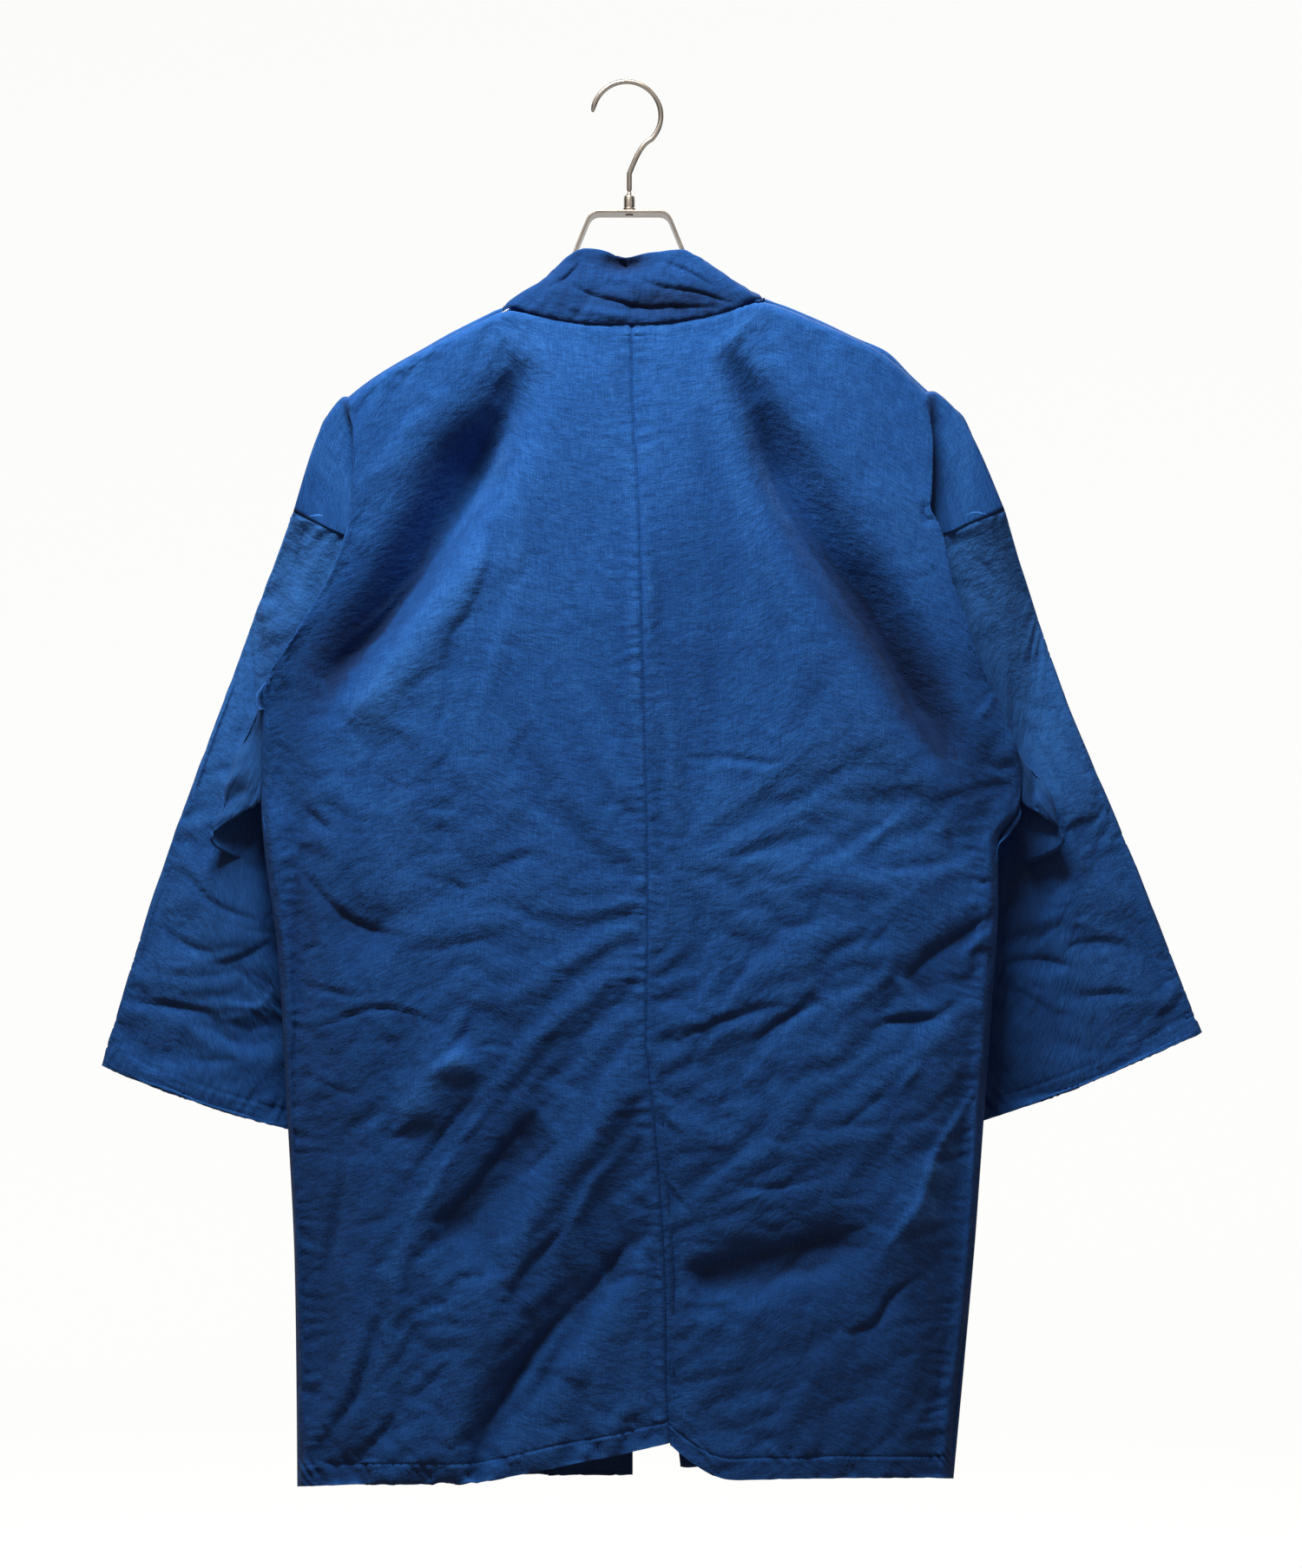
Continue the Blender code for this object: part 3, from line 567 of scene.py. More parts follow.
def added(name, mesh, finish):
    # an object in the scene, smooth and in its finish
    mesh.shade_smooth()
    mesh.materials.append(finish)
    piece = bpy.data.objects.new(name, mesh)
    bpy.context.scene.collection.objects.link(piece)
    return piece


def thickened(piece, name, thickness):
    wall = piece.modifiers.new(name, "SOLIDIFY")
    wall.thickness = thickness * mm
    wall.offset = 0.0


def eased(piece, width, segments, degrees):
    # takes the sharpness off the edges of a metal piece
    edges = piece.modifiers.new("edges", "BEVEL")
    edges.width = width * mm
    edges.segments = segments
    edges.limit_method = "ANGLE"
    edges.angle_limit = math.radians(degrees)
    edges.harden_normals = True


def gridMesh(name, rows, columns):
    # a plain sheet of quads, with each vertex's row and column in the piece's tables
    bm = bmesh.new()
    bmesh.ops.create_grid(bm, x_segments=columns - 1, y_segments=rows - 1, size=1.0)
    mesh = meshFrom(bm, name)
    flat = np.zeros(len(mesh.vertices) * 3)
    mesh.vertices.foreach_get("co", flat)
    flat = flat.reshape(-1, 3)
    column = np.rint((flat[:, 0] + 1) / 2 * (columns - 1)).astype(int)
    row = np.rint((1 - flat[:, 1]) / 2 * (rows - 1)).astype(int)
    return mesh, row, column


def clothPiece(name, points, uv, fadeAndPaintedShading, finish, thickness, ring=False):
    mesh, row, column = gridMesh(name, *points.shape[:2])
    placed = opened(points)[row, column] * mm
    mesh.vertices.foreach_set("co", placed.ravel())
    corner = np.zeros(len(mesh.loops), dtype=int)
    mesh.loops.foreach_get("vertex_index", corner)
    layer = mesh.uv_layers.new(name="cloth")
    layer.data.foreach_set("uv", (uv[row, column] * mm)[corner].ravel())
    # per point: the dye's fading together with painted light and painted shade
    paintedLightAndShade = mesh.attributes.new("fadeAndPaintedShading", "FLOAT", "POINT")
    paintedLightAndShade.data.foreach_set("value", fadeAndPaintedShading[row, column].astype(np.float32))
    if ring:
        bm = bmesh.new()
        bm.from_mesh(mesh)
        bmesh.ops.remove_doubles(bm, verts=bm.verts, dist=0.00002)
        bmesh.ops.recalc_face_normals(bm, faces=bm.faces)
        bm.to_mesh(mesh)
        bm.free()
    mesh.update()
    piece = added(name, mesh, finish)
    thickened(piece, "wall", thickness)
    return piece


def settle(piece, node):
    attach(piece, "root")
    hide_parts(node)
    return piece


def cutAndSewn(name, side, sheet, finish, node, ring=False):
    points, _, flat, fadeAndPaintedShading = sheet
    piece = clothPiece(name + side["name"].title(), points, flat, fadeAndPaintedShading, finish, cutting["cloth"], ring)
    return settle(piece, node + side["name"])


# how the cloth buckles

draping = {
    "rows": 150,
    "columns": 54,
    "frames": 15,
    "tightBy": 8,  # the frame by which the cloth is drawn in to its hanging size
    "inside": 0.02,  # how firmly the middle of a piece is held to its hanging shape
    "most": 11.0,  # mm, the furthest that buckling moves the cloth
    "cotton": {
        "quality": 4,
        "mass": 0.15,
        "tension_stiffness": 15,
        "compression_stiffness": 15,
        "shear_stiffness": 10,
        "bending_stiffness": 0.05,
        "tension_damping": 10,
        "air_damping": 2,
        "pin_stiffness": 0.6,
    },
}


def cutLarger(points, pulls):
    # the piece before it is drawn in: longer along each pull's direction, round the pull's place
    grown = points.copy()
    x, z = points[..., 0], points[..., 2]
    for placeX, placeZ, radiusX, radiusZ, degrees, amount in pulls:
        dx, dz = math.cos(math.radians(degrees)), math.sin(math.radians(degrees))
        reach = spots(x, z, [(placeX, placeZ, radiusX, radiusZ, amount)])
        reach *= (x - placeX) * dx + (z - placeZ) * dz
        grown[..., 0] += reach * dx
        grown[..., 2] += reach * dz
    return grown


def pickedOut(total, wanted):
    # evenly spaced rows or columns of a finer grid
    return np.unique(np.rint(np.linspace(0, total - 1, wanted)).astype(int))


def buckled(points, pulls, edges, columns=None):
    # draws the larger piece in to its hanging size and lets it buckle; returns how far each point moves
    rowsAt = pickedOut(points.shape[0], draping["rows"])
    columnsAt = pickedOut(points.shape[1], columns or draping["columns"])
    hung = points[rowsAt][:, columnsAt]
    larger = cutLarger(hung, pulls)
    hold = np.full(hung.shape[:2], draping["inside"])
    for index, strength in edges:
        hold[index] = np.maximum(hold[index], strength)
    mesh, row, column = gridMesh("drapedCloth", len(rowsAt), len(columnsAt))
    mesh.vertices.foreach_set("co", (larger[row, column] * mm).ravel())
    drape = bpy.data.objects.new("drapedCloth", mesh)
    scene = bpy.context.scene
    scene.collection.objects.link(drape)
    drape.shape_key_add(name="cut")
    key = drape.shape_key_add(name="hung")
    key.data.foreach_set("co", (hung[row, column] * mm).ravel())
    for frameNumber, value in ((1, 0.0), (draping["tightBy"], 1.0)):
        key.value = value
        key.keyframe_insert("value", frame=frameNumber)
    held = drape.vertex_groups.new(name="held")
    for i, value in enumerate(hold[row, column]):
        held.add([i], float(value), "REPLACE")
    cloth = drape.modifiers.new("cloth", "CLOTH")
    for setting, value in draping["cotton"].items():
        setattr(cloth.settings, setting, value)
    cloth.settings.vertex_group_mass = "held"
    cloth.settings.effector_weights.gravity = 0.0
    cloth.collision_settings.use_collision = False
    for frameNumber in range(1, draping["frames"] + 1):
        scene.frame_set(frameNumber)
    shape = drape.evaluated_get(bpy.context.evaluated_depsgraph_get())
    settled = np.zeros(len(mesh.vertices) * 3)
    shape.data.vertices.foreach_get("co", settled)
    moved = np.zeros_like(hung)
    moved[row, column] = settled.reshape(-1, 3) / mm - hung[row, column]
    bpy.data.objects.remove(drape)
    scene.frame_set(1)
    reach = np.maximum(np.linalg.norm(moved, axis=2, keepdims=True), 1e-6)
    moved *= draping["most"] * np.tanh(reach / draping["most"]) / reach
    return refined(moved, rowsAt, columnsAt, np.arange(points.shape[0]), np.arange(points.shape[1]))


# finishes

def linear(code, share=1.0):
    # an sRGB hex colour as the renderer's linear one
    parts = [int(code[i:i + 2], 16) / 255 for i in (1, 3, 5)]
    parts = [c / 12.92 if c <= 0.04045 else ((c + 0.055) / 1.055) ** 2.4 for c in parts]
    return [share * c for c in parts] + [1.0]


def addNode(tree, kind, settings=None, inputs=None):
    node = tree.nodes.new(kind)
    for key, value in (settings or {}).items():
        setattr(node, key, value)
    for key, value in (inputs or {}).items():
        if isinstance(value, bpy.types.NodeSocket):
            tree.links.new(value, node.inputs[key])
        else:
            node.inputs[key].default_value = value
    return node


def newFinish(name, values):
    # a material with the values set on its shader
    material = bpy.data.materials.new(name)
    material.use_nodes = True
    shader = material.node_tree.nodes["Principled BSDF"]
    for socket, value in values.items():
        shader.inputs[socket].default_value = value
    return material, material.node_tree, shader


cotton = {
    "deep": "#021b40",
    "middle": "#093a75",
    "faded": "#2c64ab",
    "bloom": "#9fbbe6",
    "roughness": 0.9,
    "sheen": 0.03,
    "threadPitch": 0.95,  # mm, twice the real pitch so that it shows
    "slubLength": 15.0,
    "slubWidth": 0.9,
    "bump": 0.35,
}


def indigoCotton(name, share=1.0):
    # plain-woven slub cotton, indigo dyed in the piece: matt, with thick-and-thin threads and a worn bloom
    material, tree, shader = newFinish(name, {
        "Roughness": cotton["roughness"],
        "Sheen Weight": cotton["sheen"],
        "Sheen Roughness": 0.5,
        "Sheen Tint": linear(cotton["bloom"]),
        "Specular IOR Level": 0.12,
    })
    uv = addNode(tree, "ShaderNodeUVMap", {"uv_map": "cloth"}).outputs["UV"]
    long, thin = 1000 / cotton["slubLength"], 1000 / cotton["slubWidth"]
    pitch = 1000 / cotton["threadPitch"]

    def stretched(scaleU, scaleV, detail, offset):
        moved = addNode(tree, "ShaderNodeMapping", {}, {
            "Vector": uv, "Scale": (scaleU, scaleV, 1.0), "Location": (offset, offset * 0.7, 0.0)})
        noise = addNode(tree, "ShaderNodeTexNoise", {"noise_dimensions": "2D"}, {
            "Vector": moved.outputs["Vector"], "Scale": 1.0, "Detail": detail, "Roughness": 0.6})
        return noise.outputs["Fac"]

    def maths(kind, a, b):
        return addNode(tree, "ShaderNodeMath", {"operation": kind}, {0: a, 1: b}).outputs[0]

    warp = stretched(thin, long, 2.0, 3.0)
    weft = stretched(long, thin, 2.0, 9.0)
    threads = stretched(pitch, pitch, 1.0, 5.0)
    mottle = stretched(14.0, 11.0, 4.0, 1.0)
    bloom = stretched(110.0, 90.0, 3.0, 7.0)
    # this attribute holds the dye's fading together with painted light and painted shade, and sets the tone
    # along the ramp
    fadeAndPaintedShading = addNode(tree, "ShaderNodeAttribute", {"attribute_name": "fadeAndPaintedShading"}).outputs["Fac"]
    streaks = maths("ADD", maths("MULTIPLY", warp, 0.5), maths("MULTIPLY", weft, 0.5))
    tone = maths("ADD", maths("MULTIPLY", streaks, 0.75), maths("MULTIPLY", threads, 0.40))
    tone = maths("ADD", tone, maths("MULTIPLY", mottle, 0.22))
    tone = maths("ADD", tone, maths("MULTIPLY", bloom, 0.20))
    tone = maths("ADD", tone, maths("MULTIPLY", fadeAndPaintedShading, 0.55))
    tone = maths("SUBTRACT", tone, 0.57)
    ramp = addNode(tree, "ShaderNodeValToRGB", {}, {"Fac": tone})
    ramp.color_ramp.elements[0].color = linear(cotton["deep"], share)
    ramp.color_ramp.elements[1].color = linear(cotton["faded"], share)
    ramp.color_ramp.elements.new(0.45).color = linear(cotton["middle"], share)
    tree.links.new(ramp.outputs["Color"], shader.inputs["Base Color"])
    relief = maths("ADD", maths("MULTIPLY", streaks, 0.6), maths("MULTIPLY", threads, 0.5))
    weave = addNode(tree, "ShaderNodeBump", {}, {
        "Height": relief, "Distance": 0.0006, "Strength": cotton["bump"]})
    small = stretched(150.0, 190.0, 3.0, 2.0)
    crinkle = addNode(tree, "ShaderNodeBump", {}, {
        "Height": small, "Distance": 0.0018, "Strength": 0.45, "Normal": weave.outputs["Normal"]})
    tree.links.new(crinkle.outputs["Normal"], shader.inputs["Normal"])
    return material


nickel = {
    "dull": "#6f665e",
    "bright": "#9c9389",
    "grain": 140.0,
    "smudge": 60.0,
    "uneven": 0.08,  # how far the roughness strays
}


def satinNickel(name, roughness):
    # steel, nickel plated and satin polished: soft uneven highlights, slightly warm
    material, tree, shader = newFinish(name, {"Metallic": 1.0})
    place = addNode(tree, "ShaderNodeTexCoord").outputs["Object"]
    grain, smudge = [
        addNode(tree, "ShaderNodeTexNoise", {}, {
            "Vector": place, "Scale": nickel[size], "Detail": detail}).outputs["Fac"]
        for size, detail in (("grain", 2.0), ("smudge", 3.0))
    ]
    mixed = addNode(tree, "ShaderNodeMath", {"operation": "MULTIPLY"}, {0: grain, 1: smudge}).outputs[0]
    rough = addNode(tree, "ShaderNodeMapRange", {}, {
        "Value": mixed, 1: 0.0, 2: 0.6,
        3: roughness - nickel["uneven"], 4: roughness + 1.5 * nickel["uneven"]})
    tint = addNode(tree, "ShaderNodeValToRGB", {}, {"Fac": smudge})
    tint.color_ramp.elements[0].color = linear(nickel["dull"])
    tint.color_ramp.elements[1].color = linear(nickel["bright"])
    tree.links.new(tint.outputs["Color"], shader.inputs["Base Color"])
    tree.links.new(rough.outputs["Result"], shader.inputs["Roughness"])
    return material


bodyCotton = indigoCotton("indigoSlubCotton")
# darker copies of the same cotton for the sleeves and the collar band: painted shade
sleeveCottonShaded = indigoCotton("indigoSlubCottonSleevesShaded", 0.94)
bandCottonShaded = indigoCotton("indigoSlubCottonBandShaded", 0.86)
hookNickel = satinNickel("satinNickelSteel", 0.28)
stripNickel = satinNickel("satinNickelStrip", 0.36)
print("finishes made")


# back panels

backPieces = {
    "columns": 132,
    "rows": 350,
    "flapShare": 0.14,  # part of the columns that lies behind the fold, on the way to the sleeve
    "troughShade": {"left": 0.009, "right": 0.013},
    "hemDepth": 16.0,
    "ventTop": -734.0,
    "ventHem": 15.0,
    "grain": 0.924,  # height of the crumpled surface in mm
    "fadeAndPaintedShading": 0.37,
    "pulls": {  # where the cloth is drawn in: x, z, reach in x and z, direction in degrees, share
        "left": (
            (-125, -915, 190, 190, -18, 0.115), (-205, -665, 95, 110, 62, 0.09),
            (-70, -500, 130, 150, 25, 0.03), (-110, -330, 150, 130, 5, 0.02),
            (-235, -880, 60, 160, 0, 0.06), (-60, -620, 70, 90, 80, 0.03),
        ),
        "right": (
            (225, -810, 100, 170, -28, 0.10), (190, -690, 120, 100, -52, 0.09),
            (110, -930, 150, 110, 68, 0.025), (90, -520, 90, 70, 80, 0.035),
            (110, -350, 150, 130, -8, 0.02), (70, -720, 90, 120, 75, 0.045),
        ),
    },
    "small": {  # short creases: how many, x and z they lie in, angle and its spread, depth, seed
        "left": (
            (95, (-290, 10, -1060, -520), 0.75, 0.5, 0.9, 400),
            (40, (-290, 10, -560, -200), 0.9, 0.7, 0.7, 410),
        ),
        "right": (
            (95, (20, 300, -1060, -520), 0.25, 0.5, 0.9, 402),
            (40, (10, 300, -560, -200), -0.9, 0.7, 0.7, 412),
        ),
    },
    "puckers": {  # the back seam's seed and height in mm, then the hem's and the side's seeds
        "left": (41, 1.25, 51, 47),
        "right": (43, 0.625, 53, 49),
    },
}
backCreases = {
    "left": (  # depth, width to either side, then x and z along it
        (-2.6, 3.0, 4.0, ((-161, -354), (-183, -377), (-203, -400), (-219, -418))),
        (-3.0, 7.0, 10.9, ((-114, -333), (-141, -378), (-178, -428), (-222, -496))),
        (2.5, 7.8, 7.8, ((-96, -323), (-110, -365), (-125, -401), (-136, -421), (-141, -469), (-150, -498))),
        (-1.8, 7.8, 7.8, ((-78, -316), (-90, -378), (-105, -432), (-114, -486))),
        (1.5, 6.2, 6.2, ((-73, -486), (-92, -523))),
        (2.0, 3.9, 3.9, ((-251, -547), (-224, -571))),
        (2.2, 3.5, 4.7, ((-255, -591), (-234, -610), (-203, -636), (-163, -649))),
        (1.6, 3.0, 3.0, ((-248, -658), (-230, -650))),
        (1.6, 4.0, 4.0, ((-248, -681), (-195, -692))),
        (2.4, 3.0, 3.9, ((-242, -713), (-210, -704), (-191, -700), (-142, -710))),
        (1.6, 4.0, 4.0, ((-137, -605), (-119, -615))),
        (1.3, 4.0, 4.0, ((-148, -523), (-136, -506))),
        (2.0, 4.0, 4.0, ((-119, -695), (-123, -719), (-145, -739))),
        (-1.6, 3.9, 3.9, ((-116, -727), (-84, -735))),
        (-2.2, 4.7, 4.7, ((-116, -727), (-154, -754))),
        (1.6, 3.9, 3.9, ((-150, -785), (-182, -804))),
        (2.4, 3.9, 4.7, ((-110, -758), (-136, -793), (-162, -834))),
        (-2.6, 4.7, 5.5, ((-99, -766), (-136, -821), (-166, -873))),
        (3.0, 4.7, 6.2, ((-71, -782), (-93, -810), (-117, -838), (-150, -865))),
        (2.2, 4.7, 4.7, ((-52, -804), (-80, -830))),
        (-3.0, 7.0, 7.0, ((-15, -821), (-38, -845), (-61, -886))),
        (3.2, 7.0, 7.0, ((-47, -858), (-71, -890), (-90, -917))),
        (3.0, 6.2, 6.2, ((1, -878), (-26, -906), (-45, -925))),
        (1.6, 4.0, 4.0, ((-24, -911), (24, -897))),
        (3.0, 6.2, 6.2, ((-212, -817), (-219, -861), (-228, -921))),
        (1.6, 4.0, 4.0, ((-176, -888), (-186, -900))),
        (1.3, 4.0, 4.0, ((-240, -752), (-191, -764))),
        (3.4, 5.5, 5.5, ((-182, -925), (-195, -967), (-226, -1027))),
        (2.2, 4.7, 4.7, ((-157, -942), (-174, -981))),
        (3.6, 7.0, 7.8, ((-35, -917), (-72, -955), (-95, -1000), (-116, -1044))),
        (-2.6, 6.2, 6.2, ((-47, -938), (-81, -990), (-101, -1023))),
        (2.0, 4.7, 4.7, ((-52, -961), (-76, -1006))),
        (2.0, 4.7, 4.7, ((-176, -1010), (-207, -1044))),
        (2.0, 4.7, 4.7, ((-134, -973), (-165, -1004))),
        (3.0, 10.9, 10.9, ((-257, -596), (-253, -728), (-249, -860))),
    ),
    "right": (  # depth, width to either side, then x and z along it
        (2.6, 2.0, 4.4, ((38, -901), (65, -898), (100, -891), (135, -880), (189, -865))),
        (2.2, 4.0, 4.0, ((42, -721), (74, -713), (127, -704))),
        (2.2, 4.7, 4.7, ((150, -700), (121, -714), (100, -732))),
        (2.4, 3.5, 4.0, ((189, -719), (210, -711), (240, -711), (252, -697))),
        (-2.2, 4.7, 4.7, ((224, -739), (203, -764))),
        (1.6, 3.9, 3.9, ((197, -762), (166, -799))),
        (-3.0, 5.5, 5.5, ((267, -760), (242, -794), (220, -840), (203, -872), (189, -900))),
        (1.6, 3.9, 3.9, ((70, -831), (109, -838), (162, -831))),
        (-1.3, 4.0, 4.0, ((86, -851), (109, -838))),
        (1.6, 3.0, 4.0, ((20, -817), (32, -838), (51, -861))),
        (2.6, 3.9, 3.9, ((220, -906), (199, -925), (186, -944), (178, -947), (159, -951))),
        (1.1, 3.0, 3.0, ((134, -976), (143, -938))),
        (1.1, 3.0, 3.0, ((134, -976), (159, -998))),
        (2.8, 4.0, 3.9, ((213, -688), (244, -659), (280, -630))),
        (-2.2, 3.9, 3.9, ((279, -641), (256, -667))),
        (2.2, 3.0, 3.0, ((194, -711), (236, -709), (255, -694))),
        (-1.6, 6.2, 6.2, ((183, -580), (214, -551))),
        (2.0, 4.7, 4.7, ((247, -562), (259, -595))),
        (2.6, 4.0, 4.0, ((269, -607), (282, -601))),
        (1.6, 4.0, 4.0, ((183, -667), (193, -655), (206, -645))),
        (1.5, 4.0, 4.0, ((42, -508), (57, -508), (86, -512), (112, -516), (129, -506))),
        (-1.0, 3.9, 3.9, ((51, -514), (86, -519), (117, -523))),
        (-2.0, 4.0, 4.0, ((263, -484), (280, -461))),
        (2.0, 5.5, 5.5, ((225, -319), (228, -340))),
        (2.0, 4.7, 4.7, ((233, -246), (236, -266))),
        (2.5, 9.4, 9.4, ((268, -761), (264, -893), (257, -1025))),
    ),
}


def creaseSum(x, z, rows, strength=1.0, soft=False):
    total = np.zeros_like(x)
    for depth, leftWidth, rightWidth, path in rows:
        total += strokeField(x, z, depth * strength, leftWidth, rightWidth, path, soft)
    return total


def wandering(x, z, reach=5.0):
    # small uneven shift of place, so that no crease runs dead straight
    shiftX = turnedNoise(x, z, 46.0, 1.0, 0.3, 11)
    shiftZ = turnedNoise(x, z, 42.0, 1.0, 1.2, 12)
    return x + reach * shiftX, z + reach * shiftZ


def washedSurface(x, z, height, seed=0, angle=-0.75):
    # crumple that is left all over by washing, in three sizes
    field = 1.9 * turnedNoise(x, z, 75.0, 1.6, angle, 21 + seed)
    field += 1.1 * crumple(x, z, 38.0, 2.0, angle + 0.2, 22 + seed)
    field += 1.05 * crumple(x, z, 17.0, 1.7, angle + 0.9, 23 + seed)
    field += 0.20 * turnedNoise(x, z, 8.5, 1.2, 0.1, 24 + seed)
    return height * field


def gridOf(pointOf, rowPlaces, columnPlaces):
    return np.array([[pointOf(column, row) for column in columnPlaces] for row in rowPlaces])


def spread(total, dense):
    # places from 0 to 1, closer together round the dense (place, width, strength) spots
    fine = np.linspace(0, 1, 4001)
    weight = np.ones_like(fine)
    for place, width, strength in dense:
        weight += strength * np.exp(-(((fine - place) / width) ** 2))
    reach = np.concatenate([[0.0], np.cumsum((weight[1:] + weight[:-1]) / 2)])
    return np.interp(np.linspace(0, reach[-1], total), reach, fine)


def puckers(along, away, reach, pitch, seed):
    # short ripples drawn up by a line of stitches, uneven along it and dying away from it
    slanted = along + 0.5 * away * softNoise(along, along * 0, 26.0, 1.0, seed + 2)
    phase = 2 * np.pi * (slanted / pitch + 1.3 * softNoise(along, along * 0, 19.0, 1.0, seed))
    strength = 0.5 + 0.5 * softNoise(along, along * 0, 24.0, 1.0, seed + 1)
    reaching = reach * (1 + 0.6 * softNoise(along, along * 0, 9.0, 1.0, seed + 3))
    return strength * np.sin(phase) * np.exp(-np.abs(away) / reaching)


def stitchedSeam(away, width, depth):
    # the groove that a line of stitches draws
    return depth * hump(away, width)


def hemRelief(run, fromFoot, hemDepth, seed, calm=1.0):
    # a hem turned up twice: a thicker edge under a line of stitches; returns where the line runs too
    hem = hemDepth + 1.2 * softNoise(run, run * 0, 30.0, 1.0, seed)
    edge = 0.35 * ease((hem + 1 - fromFoot) / 3.0) * calm
    return hem, stitchedSeam(fromFoot - hem, 1.3, 0.55) - edge


def backSheet(side):
    length = cutting["panelLength"]
    shares = np.concatenate([[0, 1.2, 2.6, 4.5, 6.5, 9, 14], np.linspace(20, length, 60)]) / length
    lengths = np.linalg.norm(np.diff(np.array(side["top"], float), axis=0), axis=1)
    neck, whole = lengths[:5].sum(), lengths.sum()
    acrosses = [neck * part / whole for part in (0.0, 0.12, 0.25, 0.5, 0.75, 0.92)]
    acrosses += [(neck + step) / whole for step in (0.0, 3.0, 7.0)]
    acrosses = np.concatenate([acrosses, np.linspace(acrosses[-1], 1, 12)[1:-1]])
    flaps = np.linspace(0, 1, 8)

    def flapPoint(part, share):
        fold, root, seam = backLines(side, share)
        if part == 0:
            return fold
        q = max(part * 8 / 7 - 1 / 7, 0.0)
        point = root + (seam - root) * q
        bulge = side["dropBulge"] * math.sin(math.pi * q**0.6) * float(ease(1 - share / 0.11))
        return point + np.array([side["sign"] * 0.9 * bulge, 0.0, 0.4 * bulge])

    coarse = np.concatenate([
        gridOf(lambda across, share: backPoint(side, across, share), shares, acrosses),
        gridOf(flapPoint, shares, flaps)], axis=1)
    flapAt = 1 - backPieces["flapShare"]
    places = np.concatenate([acrosses * flapAt, flapAt + flaps * backPieces["flapShare"]])
    places[len(acrosses)] = flapAt
    hemShare = 1 - backPieces["hemDepth"] / length
    rows = spread(backPieces["rows"], [(0.0, 0.012, 2.0), (hemShare, 0.004, 4.0), (1.0, 0.003, 2.0)])
    columns = spread(backPieces["columns"], [(0.0, 0.012, 4.0), (flapAt, 0.03, 2.0)])
    points = refined(coarse, shares, places, rows, columns)
    everyRow = np.ones((len(rows), 1))
    nearFold = hump(columns - flapAt, 0.05)[None, :] * ease(rows / 0.02)[:, None]
    broad = ease((columns - 0.02) / 0.04) * (1 - ease((columns - 0.72) / 0.1))
    points = rounded(points, broad[None, :] * everyRow, 30)
    beside = (ease((columns - 0.6) / 0.1) * ease((flapAt - columns) / 0.02))[None, :] * (1 - nearFold)
    points = rounded(points, beside, 40)
    points = rounded(points, nearFold, 14)
    return points, rows, columns


def backCrumple(side, x, z, wx, wz):
    depth = creaseSum(wx, wz, backCreases[side["name"]], 1.15)
    depth += washedSurface(x, z, backPieces["grain"]) * (0.45 + 0.55 * ease((-430 - z) / 200))
    for row in backPieces["small"][side["name"]]:
        depth += scattered(wx, wz, *row)
    return depth


def backSeams(side, x, z, u, v, columns, belowArm):
    # the centre back seam, the vent's two hems below it, the hem, the side seam and the neck seam
    seamSeed, seamHeight, hemSeed, sideSeed = backPieces["puckers"][side["name"]]
    vent = ease((backPieces["ventTop"] - z) / 12.0)
    depth = stitchedSeam(u, 1.6, 1.1)
    depth += seamHeight * puckers(z, u - 3, 12.0, 10.0, seamSeed) * ease(u / 3)
    depth += vent * (1.6 if side is rightSide else -0.5) * hump(u, 16.0)
    depth += vent * stitchedSeam(u - backPieces["ventHem"], 1.3, 0.8)
    fromFoot = v[-1:, :] - v
    hem, relief = hemRelief(x, fromFoot, backPieces["hemDepth"], 57)
    depth += relief + 1.8 * puckers(x + 0.6 * z, fromFoot - hem * 0.8, 12.0, 8.0, hemSeed)
    toFold = u[:, [np.argmin(np.abs(columns - (1 - backPieces["flapShare"])))]] - u
    depth += 1.1 * belowArm * puckers(z, toFold - 6, 13.0, 11.0, sideSeed) * ease(toFold / 5)
    atNeck = ease((abs(side["top"][5][0]) + 4 - np.abs(x)) / 6)
    depth += stitchedSeam(v, 3.0, 1.2) * atNeck
    depth += 1.0 * puckers(x, v - 5, 11.0, 10.0, 61) * atNeck
    return depth, fromFoot


def backToneAndPaintedLight(x, z):
    # lighter over the shoulders, partly from the dye's fading and partly painted light from above; painted
    # shade towards the hem, the sides and the lower right; blotchy dye tone all over
    upper = ease((z + 620) / 420) * (1 - 0.6 * hump(x - 10, 110))
    middle = ease((z + 900) / 420)
    blotch = 0.16 * turnedNoise(x, z, 130.0, 1.2, 0.5, 71) + 0.07 * turnedNoise(x, z, 45.0, 1.0, 0.9, 72)
    sides = 0.18 * ease((np.abs(x - 15) - 190) / 90)
    # painted shade at the lower right, slight painted light at the lower left
    foot = ease((-800 - z) / 160) * (0.04 * ease(-x / 120) - 0.20 * ease((x - 50) / 120))
    return backPieces["fadeAndPaintedShading"] + 0.12 * upper + 0.15 * middle - sides + blotch + foot


